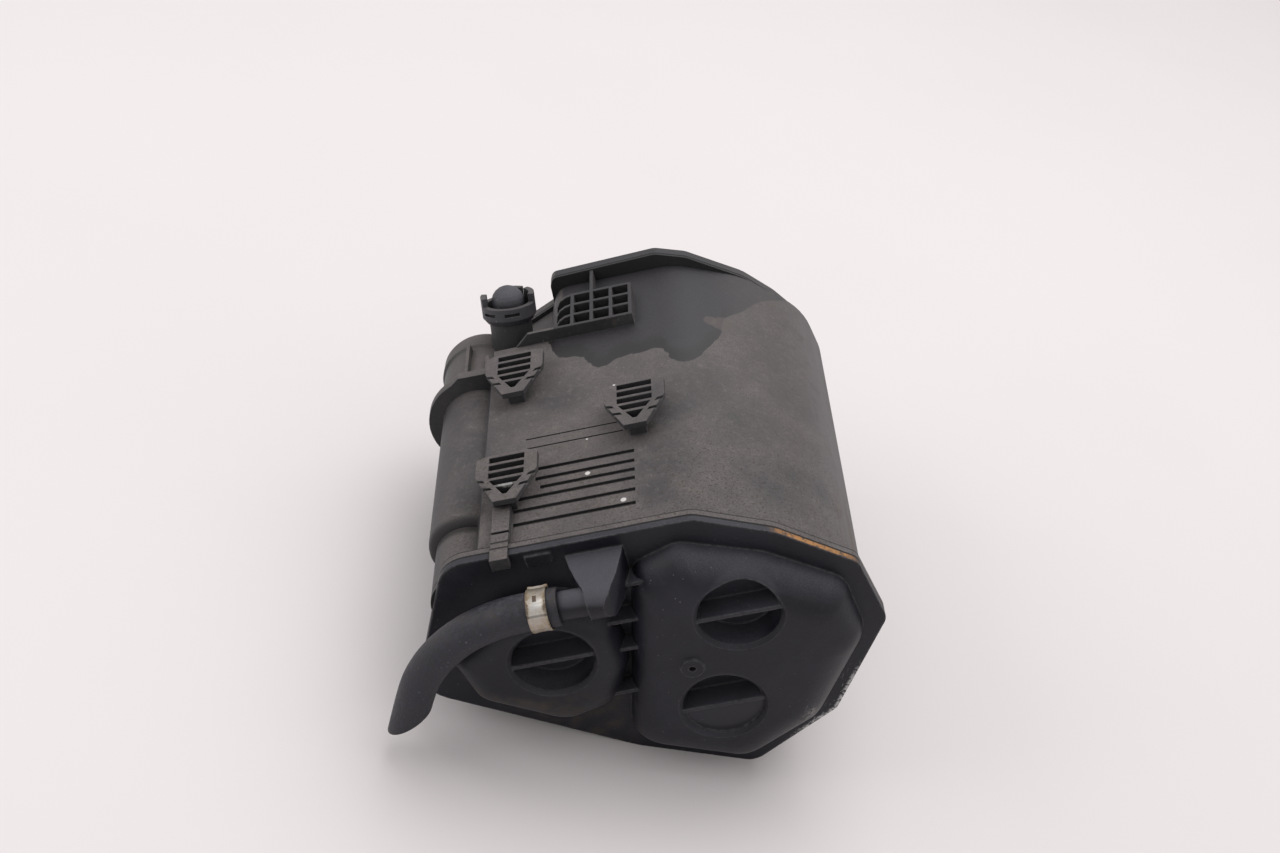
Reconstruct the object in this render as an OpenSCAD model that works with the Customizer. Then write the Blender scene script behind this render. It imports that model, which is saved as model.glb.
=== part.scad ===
// Fuel vapour canister lying on its side: a moulded tub with a welded front cover and rear cover, a side
// tube with an end cap and a push-on connector, three slide-in lugs, and a short hose on an elbow spigot.
// Lengths are in millimetres. X runs to the right, Y from the front cover to the rear cover, Z up.

/* [Housing] */
// Width across the front rim
cover_width = 207.3; // [204:0.1:210]
// Height across the front rim
cover_height = 146; // [144:0.5:149]
// Wall thickness of the tub and the covers
wall = 3; // [2.6:0.1:3.4]
// Thickness of each of the two flanges that are welded together at the front
rim_thickness = 4; // [3:0.5:5]
// How far the front rim stands out from the tub
rim_overhang = 2.5; // [2:0.1:3]
// Distance from the side tube's flange back to the step at the left
step_length = 23.5; // [20:0.5:25]
// Depth of the narrow rear part, from the step to the rear cover
rear_length = 50; // [48:1:60]
// Left limit of the narrow rear part, measured from the left end of the rim
step_width = 46; // [45:0.5:48]

/* [Front cover] */
// How far the domes stand out from the seam
dome_height = 21.5; // [20:0.5:23]
// Radius of the round spring pockets
pocket_radius = 19.4; // [18:0.1:20]
// Depth of the spring pockets below the face of the dome
pocket_depth = 14; // [12:0.5:16]
// Thickness of the rib across each pocket
pocket_rib = 2; // [1.5:0.1:3]

/* [Rear cover] */
// Thickness of the rear cover's lip
lip_thickness = 7; // [5:0.5:8]
// How far the raised panel stands out from the lip
panel_height = 8; // [5:0.5:10]
// Outer radius of the purge spigot
spigot_radius = 6; // [5.5:0.1:6.5]
// Length of the purge spigot
spigot_length = 26; // [22:1:30]

/* [Side tube] */
// Outer radius of the side tube
tube_radius = 21.5; // [20.5:0.1:22]
// Outer radius of its narrow front end
tube_neck_radius = 17.5; // [16.5:0.1:18]
// Length of the narrow front end
tube_neck_length = 35; // [32:0.5:38]
// Depth at which the tube's flange meets the end cap
tube_depth = 142.5; // [136:0.5:150]
// Outer radius of the flange pair
tube_flange_radius = 29; // [27.5:0.1:30]
// Radius of the end cap
cap_radius = 24.4; // [24:0.1:24.8]
// Length of the end cap behind its seat
cap_length = 52; // [50:0.5:54]

/* [Connector] */
// Lean of the connector towards the left, in degrees
connector_lean = 18; // [14:1:22]
// Lean of the connector towards the rear, in degrees
connector_back = 15; // [10:1:18]
// Outer radius of the neck below the connector
neck_radius = 11.2; // [10.8:0.1:11.6]
// Outer radius of the collar
collar_radius = 14.4; // [14:0.1:15]
// Height of the ears that stand up from the collar's ring
ear_height = 4.5; // [3:0.5:6]

/* [Lugs] */
// Height of the lug plates above the tub
lug_height = 10; // [9:0.5:12]
// Width of the lug plates
lug_width = 30; // [27:0.5:31]
// Length of the lug plates
lug_length = 35; // [33:0.5:36]
// Height of the rib grid and of the wall in front of it
grid_height = 7; // [5:0.5:8]
// Depth of the moulded grooves
groove_depth = 1.6; // [1:0.1:1.8]

/* [Hose] */
// Outer diameter of the hose
hose_diameter = 17.5; // [17:0.1:18.5]
// Bore of the hose
hose_bore = 12.4; // [12.2:0.1:12.8]
// Width of the band clamp
clamp_width = 9; // [7:0.5:10]
// Thickness of the band clamp
clamp_thickness = 0.9; // [0.7:0.1:1.2]

/* [Filling] */
// Wire diameter of the bed springs
spring_wire = 2.4; // [2:0.1:2.6]
// Length of the fitted bed springs
spring_length = 24; // [22:0.5:27]
// Thickness of the perforated plates and support grids
plate_thickness = 3; // [2.5:0.5:4]
// Thickness of the filter fleeces
fleece_thickness = 5; // [4:0.5:6]
// Length of the side chamber's charcoal bed
side_bed_length = 70; // [60:1:76]

/* [Hidden] */

// Clearances between pieces
seat_gap = 0.3;
filling_gap = 0.6;
over = 1;

// Smoothness of circles and of rounded outline corners
$fn = 64;
corner_steps = 6;
least_radius = 0.6;

// Front rim: corner x, corner z and corner radius, from the lower left, anticlockwise seen from the front
RIM_CORNERS = [[-140.5, 17, 18], [-28, 0, 30], [31, 0, 10], [60.5, 44, 10], [66.8, 106, 8],
    [44, 136, 8], [2, 146, 25], [-36, 146, 12], [-140.5, 96.8, 16]];
table_width = max([for (c = RIM_CORNERS) c.x]) - min([for (c = RIM_CORNERS) c.x]);
table_height = max([for (c = RIM_CORNERS) c.y]);
wide = cover_width / table_width;
tall = cover_height / table_height;
function scaled(t) = [for (c = t) [c[0] * wide, c[1] * tall, c[2]]];
rim = scaled(RIM_CORNERS);
rim_left = rim[0].x;

// Depths of the step and of the rear cover, counted from the front seam
step_depth = tube_depth + step_length;
tub_depth = step_depth + rear_length;

// Planar helpers: corners are [x, z, radius] lists in anticlockwise order
function flat(c) = [c.x, c.y];
function unit(v) = v / norm(v);
function inward(a, b) = let (d = unit(b - a)) [-d.y, d.x];
function before(t, i) = flat(t[(i + len(t) - 1) % len(t)]);
function after(t, i) = flat(t[(i + 1) % len(t)]);
function inset_corner(t, i, d) =
    let (c = flat(t[i]), m = inward(before(t, i), c), n = inward(c, after(t, i)), s = (m + n) / (1 + m * n))
    [c.x + d * s.x, c.y + d * s.y, max(t[i].z - d, least_radius)];
function inset(t, d) = [for (i = [0:len(t) - 1]) inset_corner(t, i, d)];
function corner_arc(p, c, q, r, n) =
    let (u = unit(p - c), v = unit(q - c), half = acos(u * v) / 2, o = c + unit(u + v) * r / sin(half),
        a = c + u * r / tan(half) - o, b = c + v * r / tan(half) - o,
        start = atan2(a.y, a.x), turn = atan2(a.x * b.y - a.y * b.x, a * b))
    [for (k = [0:n]) o + r * [cos(start + turn * k / n), sin(start + turn * k / n)]];
function outline(t) =
    [for (i = [0:len(t) - 1]) each corner_arc(before(t, i), flat(t[i]), after(t, i), t[i].z, corner_steps)];
function line_z(a, b, x) = a.y + (b.y - a.y) * (x - a.x) / (b.x - a.x);

// Tub outline: it follows the rim, with a lower and rounder right shoulder and a softer crest
TUB_SHOULDER = [[62.8, 100, 30], [41.5, 129.5, 40], [2, 143.5, 45]];
crest_radius = 40;
shoulder = scaled(TUB_SHOULDER);
follow = inset(rim, rim_overhang);
tub = [follow[0], follow[1], follow[2], follow[3], shoulder[0], shoulder[1], shoulder[2],
    [follow[7].x, follow[7].y, crest_radius], follow[8]];
inner = inset(tub, wall);

// Sloping top face that carries the lugs
face_slope = atan2(tub[7].y - tub[8].y, tub[7].x - tub[8].x);
face_left = rim_left + 15.5;
face_z = line_z(tub[8], tub[7], face_left);
function bottom_z(x, t) = line_z(t[0], t[1], x);
function top_z(x, t) = line_z(t[8], t[7], x);

// Partition between the main chamber and the side chamber
partition_x = -53.5 * wide;
step_x = rim_left + step_width;
rear_tub = [[step_x, bottom_z(step_x, tub), 8], tub[1], tub[2], tub[3], tub[4], tub[5], tub[6], tub[7],
    [step_x, top_z(step_x, tub), 10]];
main_left = partition_x + wall / 2;
main_chamber = [[main_left, bottom_z(main_left, inner), 3], inner[1], inner[2], inner[3], inner[4], inner[5],
    inner[6], inner[7], [main_left, top_z(main_left, inner), 3]];
side_left = inner[0].x;
side_right = partition_x - wall / 2;
side_top_left = face_left + wall;
shelf_z = 46 * tall;
side_chamber = [[side_left, bottom_z(side_left, inner), 10], [side_right, bottom_z(side_right, inner), 3],
    [side_right, top_z(side_right, inner), 3], [side_top_left, top_z(side_top_left, inner), 3],
    [side_top_left, shelf_z, 3], [side_left, shelf_z, 6]];
rear_left = step_x + wall;
rear_right = partition_x - wall / 2;
rear_pocket = [[rear_left, bottom_z(rear_left, inner), 5], [rear_right, bottom_z(rear_right, inner), 3],
    [rear_right, top_z(rear_right, inner), 3], [rear_left, top_z(rear_left, inner), 6]];

// Port from the side chamber into the pocket behind it
port = [-74 * wide, 65 * tall];
port_radius = 8;

// Buttress at the rear left, behind the end cap: corner x, corner z and corner radius
BUTTRESS = [[-88, 44, 1], [-88, 108, 1], [-104, 89.5, 6], [-109, 78, 6], [-109, 60, 8]];
buttress = scaled(BUTTRESS);
buttress_gap = 5.5;

// Side tube and the recess that its end cap sits in
tube_x = rim_left + 16;
tube_z = cover_height / 2;
tube_wall = 2.6;
tube_fillet = 6;
tube_flange = 2.5;
tube_front = 8;
FLANGE_EAR = [[-1.5, 33], [-18, 25.5], [-25.5, 11.5], [-28.5, 4]];
cap_gap = 0.5;
cap_step = 35;
cap_taper = 1.2;
cap_round = 9;
cap_rear = tube_depth + cap_length;
buttress_front = cap_rear + buttress_gap;
FINS = [[-31, 33], [-8, 21]];
fin_width = 1.8;
fin_height = 3;
low_top = tube_z - cap_radius - cap_gap - wall;
low_pocket = [[inner[0].x, bottom_z(inner[0].x, inner)], [rear_left + over, bottom_z(rear_left, inner)],
    [rear_left + over, low_top], [inner[0].x, low_top]];

// Rear cover: corner x, corner z and corner radius, then the left end with x counted from the step
LIP_CORNERS = [[-28, 0, 30], [31, 0, 10], [60, 44, 10], [62, 98, 10], [43, 123, 14], [24, 134.5, 30],
    [4, 143, 30], [-30, 149, 12], [-47, 147.6, 10]];
LIP_LEFT = [[-4, 121.5, 4], [-4, 116, 4], [0, 106, 4]];
lip_corner = 8;
lip_main = concat([[step_x, bottom_z(step_x, rim), lip_corner]], scaled(LIP_CORNERS));
lip = concat(lip_main, [for (c = LIP_LEFT) [step_x + c.x, c.y * tall, c.z]]);
panel = concat(lip_main, [[step_x, LIP_LEFT[0].y * tall, lip_corner]]);
panel_inset = 11;
lip_rear = tub_depth + lip_thickness;
panel_rear = lip_rear + panel_height;
spigot_x = 22 * wide;
spigot_z = 92 * tall;
spigot_bore = 4;

// Front cover domes: corners of the foot and of the flat face, with their radii, and the rounded shoulder
// between them as [share of the way to the face, share of the height]
RIGHT_FOOT = [[-34, 10.5, 14], [25, 10.5, 14], [51.5, 46, 16], [57.6, 100, 14], [40, 126.5, 14],
    [0, 134.5, 24], [-40, 132.5, 10], [-57, 116, 10]];
RIGHT_FACE = [[-22, 29, 12], [15, 29, 12], [33, 53, 14], [38, 95, 12], [27, 111, 12], [0, 116, 20],
    [-27, 114, 8], [-39, 102, 8]];
LEFT_FOOT = [[-112, 25, 10], [-66, 19, 16], [-46, 36, 16], [-46, 64, 16], [-60, 90, 16], [-86, 97, 20],
    [-112, 82, 14], [-133, 52, 8]];
LEFT_FACE = [[-104, 42, 10], [-74, 37, 13], [-62, 47, 12], [-62, 66, 12], [-70, 80, 11], [-86, 85, 12],
    [-104, 75, 10], [-116, 55, 6]];
DOMES = [[scaled(RIGHT_FOOT), scaled(RIGHT_FACE)], [scaled(LEFT_FOOT), scaled(LEFT_FACE)]];
SHOULDER = [[0, 0], [0.02, 0.2], [0.08, 0.39], [0.18, 0.57], [0.31, 0.724], [0.47, 0.848], [0.65, 0.937],
    [0.83, 0.985], [1, 1]];
// Steps of the hollow behind each dome, as [inset from the foot, share of the dome's height]
HOLLOW = [[3, 0.4], [9, 0.7], [19, 0.86]];
function dome_ring(t, share, height) =
    let (foot = outline(t[0]), face = outline(t[1]))
    [for (i = [0:len(foot) - 1]) let (q = foot[i] + share * (face[i] - foot[i])) [q.x, -height, q.y]];

// Spring pockets: centre x, centre z
POCKETS = [[-6, 109], [1, 51.5], [-83, 64]];
pockets = scaled(POCKETS);
pocket_tilt = face_slope;
rib_sunk = 1.5;
pocket_draft = 2;
pocket_edge = 2;
fill_sunk = 3;
cup_wall = 2.2;
cup_floor = 2.5;
pocket_floor = pocket_depth - dome_height;
spring_seat = pocket_floor + cup_floor;
spring_radius = 12;
spring_turns = 5;
spring_sides = 6;
spring_steps = 14;
post_radius = spring_radius - spring_wire / 2 - filling_gap;
post_height = 5;
gate = [-19.5 * wide, 74 * tall];
gate_radius = 5.5;
gate_height = 1.2;
gate_hole = 1.6;

// Ribs in the valley between the domes: left end x, left end z, length
VALLEY_RIBS = [[-72, 80, 30], [-61, 66, 24], [-57, 38, 24], [-66, 106.5, 18]];
valley_rib = 1.8;
valley_rib_front = 14;

// Elbow hood: its side view as [height above the spigot's axis, distance in front of the seam], and its
// top view as [distance behind the spigot's shoulder, distance in front of the seam]
HOOD_SIDE = [[9.8, 2], [9.5, 5], [8, 27], [7.2, 30], [5.6, 32.6], [3.2, 34.3], [0.4, 34.9], [-2.4, 34.5],
    [-4.9, 33.2], [-6.8, 31], [-7.8, 28], [-8, 24], [-8, 2]];
HOOD_TOP = [[4, 0], [4.5, 5], [6.4, 12.6], [9.8, 21.9], [12, 26.5], [13.5, 36], [19, 36], [23.6, 31],
    [27.4, 20], [30.4, 7], [31.6, 0]];
hood_reach = 60;

// Hose route from the spigot's shoulder to the free end, as [x, z] in the plane of the spigot
ROUTE = [[-87, 104], [-94.3, 100.6], [-101.5, 97.2], [-110, 92.5], [-117.8, 86.6], [-124.8, 79.7],
    [-130.6, 71.9], [-135.4, 63.3], [-138.9, 54.2], [-140.9, 45.9], [-141.8, 37.4], [-142.6, 21.6]];
route = scaled(ROUTE);
hose_y = 26;
hose_sides = 12;
hose_cut = 1.1;
spigot_run = 18;
stub_radius = hose_bore / 2 * cos(180 / hose_sides) - seat_gap;
stub_step = 0.9;
stub_shoulder = stub_radius + stub_step;
stub_bore = 4;
drop_bore = 3.2;
stub_back = 21;
clamp_start = 4.5;
clamp_ear = [6, 1.4];
clamp_margin = 1.5;
clamp_turn = 60;
route_angle = atan2(route[0].y - route[1].y, route[0].x - route[1].x);

// Lug positions: distance up the top face from its left edge, and from the step to the plate's rear edge
LUGS = [[14.8, 20.3], [76.8, 65.8], [14.2, 104.6]];
lug_plate = 3;
lug_stem = 8;
lug_stem_back = 4;
lug_front = 11;
lug_square = 15;
lug_corner = [4.5, 2];
slot_width = 17.4;
slot_taper = 0.62;
slot_depth = 7;
slot_rim = 2.4;
slot_slant = 1.2;
SLOTS = [[1.8, 5.8], [7.5, 11.5], [13.2, 17.2], [18.9, 22.9], [24.6, 30.4]];
SIDE_SLOTS = [[17.9, 20.1], [24.3, 26.3]];

// Grooves in the top face: depth of the groove and its left end up the face
GROOVES = [[57.5, 25.5], [50, 25.7], [43.3, 28.2], [37, 15], [28.5, 15.6], [18.7, 16]];
groove_end = 74;
groove_width = 2.6;
LINES = [[75, 21], [82.5, 20]];
line_end = 69;
line_width = 0.9;

// Rib grid: columns up the face, rows back from the step, and the rounded left end of each row as
// [distance from the end, distance below the top]
GRID_COLUMNS = [44, 54.5, 65, 75.4];
ROW_END = [[0, 11], [0, 9], [1, 5.5], [3, 2.6], [6.5, 0.7]];
grid_rows = 4;
grid_pitch = 9.7;
grid_rib = 1.8;
grid_left = 33.5;
wall_left = 20;
wall_ramp = 9;
lip_rib = GRID_COLUMNS[1];

// Strap from the front lug over the seam
strap_u = 11.2;
strap_width = 8.3;
strap_height = 4;
strap_lap = 5.6;
strap_start = step_depth - LUGS[2][1] - lug_length + strap_lap;
strap_tip = 4;
strap_hook = 5;
STRAP_BANDS = [29.5, 10];
strap_band = 1.6;
pad_u = 22;
pad_width = 12;
pad_height = 6;
pad_proud = 1.2;

// Connector: s runs up its leaning axis from the point where the axis crosses the cap
connector_set = 10.5;
connector_y = step_depth + connector_set;
connector_offset = [14, 13];
neck_root = 5;
neck_top = 31.5;
neck_bore = 8.2;
neck_floor = 4;
collar_foot = 28;
collar_cone = 3;
collar_lip = 0.8;
collar_ring = 37.6;
collar_bore = neck_radius + seat_gap;
NOTCHES = [[45, 58], [84, 166], [206, 346]];
notch_steps = 5;
COLLAR_SLOTS = [-132, -78];
slot_size = [8, 1.6];
slot_height = 5.4;
plug_radius = 8.8;
plug_head = 6.6;
plug_dome = 8.6;
plug_flat = 1;
plug_steps = 6;
plug_stem = neck_bore - seat_gap;
plug_stem_length = 8;
ring_radius = 0.9;
ring_depth = 4;
ring_groove = 2.2;

// Filling: positions along Y
plate_front = spring_seat + spring_length;
fleece_front = plate_front + plate_thickness;
bed_front = fleece_front + fleece_thickness;
side_bed_rear = bed_front + side_bed_length;
side_grid_front = side_bed_rear + fleece_thickness;
side_rear = tube_depth - wall;
foot_height = 8;
main_grid_rear = tub_depth - foot_height;
main_grid_front = main_grid_rear - plate_thickness;
main_bed_rear = main_grid_front - fleece_thickness;
FEET = [[-30, 40], [30, 60], [-30, 110], [30, 110]];
SIDE_FEET = [[-75, 40], [-75, 90]];
foot_radius = 4;
hole_pitch = 13;
hole_radius = 3;
MAIN_HOLES = [[-38, 30], [22, 118]];
SIDE_HOLES = [[-90, -62], [28, 100]];
filter_bore = 7;

// Frame: the box of the rigid pieces is centred on the origin and stands on z = 0
box_left = tube_x - tube_flange_radius;
box_right = max([for (q = outline(rim)) q.x]);
box_front = -hose_y - hose_diameter / 2 - seat_gap - clamp_thickness;
box_rear = panel_rear + spigot_length;
shift = [-(box_left + box_right) / 2, -(box_front + box_rear) / 2, 0];

// Prism of an [x, z] outline between two depths
module prism(points, front, rear) {
    translate([0, rear, 0])
        rotate([90, 0, 0])
            linear_extrude(rear - front)
                polygon(points);
}

// Cylinder along Y
module along_y(x, z, r, front, rear) {
    translate([x, rear, z])
        rotate([90, 0, 0])
            cylinder(r = r, h = rear - front);
}

// Places children on the sloping top face: x up the slope, y along the depth, z away from the tub
module on_face() {
    translate([face_left, 0, face_z])
        rotate([0, -face_slope, 0])
            children();
}

// Box given by two opposite corners
module span(a, b) {
    translate(a)
        cube(b - a);
}

// Solid between outlines of equal length, given from the rear to the front
module loft(rings) {
    n = len(rings[0]);
    last = len(rings) - 1;
    sides = [for (k = [0:last - 1], i = [0:n - 1]) let (j = (i + 1) % n)
        each [[k * n + i, k * n + n + i, k * n + n + j], [k * n + i, k * n + n + j, k * n + j]]];
    rear_face = [for (i = [0:n - 1]) i];
    front_face = [for (i = [n - 1:-1:0]) last * n + i];
    polyhedron([for (r = rings) each r], concat(sides, [rear_face, front_face]));
}

// Half width of a lug's slotted panel at a distance from its rear edge
function slot_half(d) = min(slot_width / 2, (lug_length - lug_plate - d) * slot_taper);

module lug() {
    half = lug_width / 2;
    tip = lug_front / 2;
    difference() {
        union() {
            translate([0, 0, lug_height - lug_plate])
                linear_extrude(lug_plate)
                    polygon([[-half + lug_corner.x, 0], [-half, -lug_corner.y], [-half, -lug_square],
                        [-tip, -lug_length], [tip, -lug_length], [half, -lug_square], [half, -lug_corner.y],
                        [half - lug_corner.x, 0]]);
            span([-lug_stem / 2, lug_stem_back - lug_length, -over],
                [lug_stem / 2, -lug_stem_back, lug_height - lug_plate + over]);
        }
        for (s = SLOTS)
            translate([0, 0, lug_height - slot_depth])
                linear_extrude(slot_depth + over)
                    polygon([[-slot_half(s[0]), -s[0]], [-slot_half(s[1]), -s[1]], [slot_half(s[1]), -s[1]],
                        [slot_half(s[0]), -s[0]]]);
        for (s = SIDE_SLOTS, side = [-1, 1])
            translate([0, 0, lug_height - lug_plate / 2])
                linear_extrude(lug_plate)
                    polygon([[side * (slot_half(s[0]) + slot_rim), -s[0]],
                        [side * (slot_half(s[1]) + slot_rim), -s[1]],
                        [side * half, slot_slant - s[1]], [side * half, slot_slant - s[0]]]);
    }
}

module strap() {
    left = strap_u - strap_width / 2;
    right = strap_u + strap_width / 2;
    foot = rim_overhang + seat_gap;
    difference() {
        union() {
            span([left, 0, -over], [right, strap_start, strap_height]);
            span([left, -rim_thickness - strap_tip, foot], [right, over, strap_height]);
            span([left, -rim_thickness - strap_tip, foot - strap_hook],
                [right, -rim_thickness - seat_gap, strap_height]);
        }
        for (y = STRAP_BANDS)
            span([left - over, y, strap_height / 2], [right + over, y + strap_band, strap_height + over]);
    }
}

// Cross rib of the grid: its left end rounds down over the edge of the narrow part
module grid_row(y) {
    translate([0, y + grid_rib / 2, 0])
        rotate([90, 0, 0])
            linear_extrude(grid_rib)
                polygon(concat([for (e = ROW_END) [grid_left + e.x, grid_height - e.y]],
                    [[GRID_COLUMNS[0], grid_height], [GRID_COLUMNS[3], grid_height], [GRID_COLUMNS[3], -over]]));
}

module rib_grid() {
    grid_rear = step_depth + (grid_rows - 1) * grid_pitch;
    for (k = [1:grid_rows - 1])
        grid_row(step_depth + k * grid_pitch);
    for (u = GRID_COLUMNS)
        span([u - grid_rib / 2, step_depth - grid_rib / 2, -over], [u + grid_rib / 2, grid_rear, grid_height]);
    span([lip_rib - grid_rib / 2, grid_rear - over, -over], [lip_rib + grid_rib / 2, tub_depth, grid_height]);
    translate([0, step_depth + grid_rib / 2, 0])
        rotate([90, 0, 0])
            linear_extrude(grid_rib)
                polygon([[wall_left - wall_ramp, -over], [GRID_COLUMNS[3] + grid_rib / 2, -over],
                    [GRID_COLUMNS[3] + grid_rib / 2, grid_height], [wall_left, grid_height]]);
}

// Flange of the side tube: a disc with an angular ear at the upper left
module flange(front, rear) {
    along_y(tube_x, tube_z, tube_flange_radius, front, rear);
    prism(concat([[tube_x, tube_z]], [for (e = FLANGE_EAR) [tube_x + e.x, tube_z + e.y]]), front, rear);
}

// Side tube as a turned shape about its own axis, with a rounded front shoulder and a rear flange
module tube_outside() {
    turned = [for (k = [0:corner_steps]) let (a = 90 * k / corner_steps)
        [tube_radius - tube_fillet * (1 - sin(a)), tube_neck_length + tube_fillet * (1 - cos(a))]];
    translate([tube_x, 0, tube_z])
        rotate([-90, 0, 0])
            rotate_extrude()
                polygon(concat([[0, 0], [tube_neck_radius, 0]], [[tube_neck_radius, tube_neck_length]], turned,
                    [[tube_radius, tube_depth], [0, tube_depth]]));
    flange(tube_depth - tube_flange, tube_depth);
}

module canister_body() {
    color("#2b2b2d")
        translate(shift)
            difference() {
                union() {
                    difference() {
                        union() {
                            prism(outline(tub), 0, step_depth);
                            prism(outline(rear_tub), step_depth - over, tub_depth);
                            prism(outline(buttress), buttress_front, tub_depth);
                        }
                        span([rim_left - over, rim_thickness, tube_z - tube_neck_radius / 2],
                            [face_left, step_depth + over, cover_height]);
                        prism(outline(side_chamber), -over, side_rear);
                        along_y(tube_x, tube_z, cap_radius + cap_gap, tube_depth, step_depth + over);
                        difference() {
                            along_y(tube_x, tube_z, tube_flange_radius + cap_gap, tube_depth,
                                tube_depth + tube_flange + cap_gap);
                            span([face_left, 0, 0], [tube_x + 2 * tube_flange_radius, step_depth, cover_height]);
                        }
                    }
                    tube_outside();
                    difference() {
                        prism(outline(rim), 0, rim_thickness);
                        prism(outline(side_chamber), -over, rim_thickness + over);
                    }
                    on_face() {
                        for (p = LUGS)
                            translate([p[0], step_depth - p[1], 0])
                                lug();
                        strap();
                        rib_grid();
                    }
                    for (p = scaled(SIDE_FEET))
                        along_y(p[0], p[1], foot_radius, side_grid_front + plate_thickness, side_rear + over);
                }
                prism(outline(main_chamber), -over, tub_depth + over);
                prism(outline(rear_pocket), tube_depth, tub_depth + over);
                prism(low_pocket, tube_depth, step_depth - wall);
                along_y(port[0], port[1], port_radius, side_rear - over, tube_depth + over);
                along_y(tube_x, tube_z, tube_neck_radius - tube_wall, tube_front, tube_depth + over);
                along_y(tube_x, tube_z, tube_radius - tube_wall, tube_neck_length + tube_fillet, tube_depth + over);
                on_face() {
                    for (g = GROOVES)
                        span([g[1], g[0] - groove_width / 2, -groove_depth],
                            [groove_end, g[0] + groove_width / 2, over]);
                    for (g = LINES)
                        span([g[1], g[0] - line_width / 2, -line_width], [line_end, g[0] + line_width / 2, over]);
                }
            }
}

// Elbow spigot along the hose's first run: s runs from the shoulder towards the hose
module along_stub() {
    translate([route[0].x, -hose_y, route[0].y])
        rotate([0, -90 - route_angle, 0])
            children();
}

// Hood over the elbow: its side view run along the spigot, trimmed to its top view
module hood() {
    translate([route[0].x, 0, route[0].y])
        rotate([0, -route_angle, 0])
            intersection() {
                rotate([90, 0, 90])
                    linear_extrude(hood_reach)
                        polygon([for (p = HOOD_SIDE) [-p.y, p.x]]);
                translate([0, 0, -hood_reach / 2])
                    linear_extrude(hood_reach)
                        polygon([for (p = HOOD_TOP) [p.x, -p.y]]);
            }
}

module pocket_rib(p) {
    translate([p[0], rib_sunk - dome_height, p[1]])
        rotate([0, -pocket_tilt, 0])
            span([-pocket_radius - cup_wall / 2, 0, -pocket_rib / 2],
                [pocket_radius + cup_wall / 2, pocket_depth, pocket_rib / 2]);
}

// Tapered pocket with a bevelled edge
module pocket_cut(p) {
    translate([p[0], pocket_floor, p[1]])
        rotate([90, 0, 0]) {
            cylinder(r1 = pocket_radius - pocket_draft, r2 = pocket_radius, h = pocket_depth);
            translate([0, 0, pocket_depth - pocket_edge])
                cylinder(r1 = pocket_radius - pocket_edge / 4, r2 = pocket_radius + 2 * pocket_edge,
                    h = 2 * pocket_edge);
        }
}

// Plate that closes the part of a pocket below its rib
module pocket_fill(p) {
    difference() {
        along_y(p[0], p[1], pocket_radius + cup_wall / 2, fill_sunk - dome_height, pocket_floor + over);
        translate([p[0], 0, p[1]])
            rotate([0, -pocket_tilt, 0])
                span([-2 * pocket_radius, -2 * dome_height, 0],
                    [2 * pocket_radius, dome_height, 2 * pocket_radius]);
    }
}

module front_cover() {
    color("#262628")
        translate(shift)
            union() {
                difference() {
                    union() {
                        prism(outline(rim), -rim_thickness, 0);
                        for (t = DOMES)
                            loft(concat([dome_ring(t, 0, rim_thickness / 2)], [for (s = SHOULDER)
                                dome_ring(t, s[0], rim_thickness + (dome_height - rim_thickness) * s[1])]));
                        for (r = scaled(VALLEY_RIBS))
                            translate([r[0], -valley_rib_front, r[1]])
                                rotate([0, -face_slope, 0])
                                    cube([r[2], valley_rib_front - over, valley_rib]);
                        along_y(gate[0], gate[1], gate_radius, -dome_height - gate_height, wall - dome_height);
                        hood();
                        along_stub()
                            translate([0, 0, -stub_back])
                                cylinder(r = stub_shoulder, h = stub_back);
                        along_stub()
                            cylinder(r = stub_radius, h = spigot_run);
                        translate([face_left, 0, face_z])
                            rotate([0, -face_slope, 0])
                                span([pad_u, -rim_thickness - pad_proud, -pad_height],
                                    [pad_u + pad_width, -rim_thickness + over, 0]);
                    }
                    difference() {
                        for (t = DOMES, h = HOLLOW)
                            prism(outline(inset(t[0], h[0])), -dome_height * h[1], over);
                        for (p = pockets)
                            along_y(p[0], p[1], pocket_radius + cup_wall, -2 * dome_height, spring_seat);
                    }
                    for (p = pockets)
                        pocket_cut(p);
                    along_y(gate[0], gate[1], gate_hole, -2 * dome_height, gate_height - dome_height);
                    along_stub()
                        translate([0, 0, -stub_back])
                            cylinder(r = stub_bore, h = stub_back + spigot_run + over);
                    along_stub()
                        translate([0, 0, stub_bore - stub_back])
                            rotate([-90, 0, 0])
                                cylinder(r = drop_bore, h = hose_y + over);
                }
                for (p = pockets) {
                    pocket_rib(p);
                    along_y(p[0], p[1], post_radius, spring_seat - over, spring_seat + post_height);
                }
                pocket_fill(pockets[1]);
            }
}

module rear_cover() {
    color("#29292b")
        translate(shift)
            difference() {
                union() {
                    prism(outline(lip), tub_depth, lip_rear);
                    prism(outline(inset(buttress, -rim_overhang)), tub_depth, lip_rear);
                    prism(outline(inset(panel, panel_inset)), lip_rear - over, panel_rear);
                    along_y(spigot_x, spigot_z, spigot_radius, panel_rear - over, panel_rear + spigot_length);
                    for (p = scaled(FEET))
                        along_y(p[0], p[1], foot_radius, tub_depth - foot_height, tub_depth + over);
                }
                prism(outline(inset(panel, panel_inset + wall)), tub_depth + wall, panel_rear - wall);
                along_y(spigot_x, spigot_z, spigot_bore, tub_depth - over, panel_rear + spigot_length + over);
            }
}

// Places children on the connector's leaning axis
module on_connector() {
    translate([tube_x + connector_offset.x, connector_y, tube_z + connector_offset.y])
        rotate([-connector_back, -connector_lean, 0])
            children();
}

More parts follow.
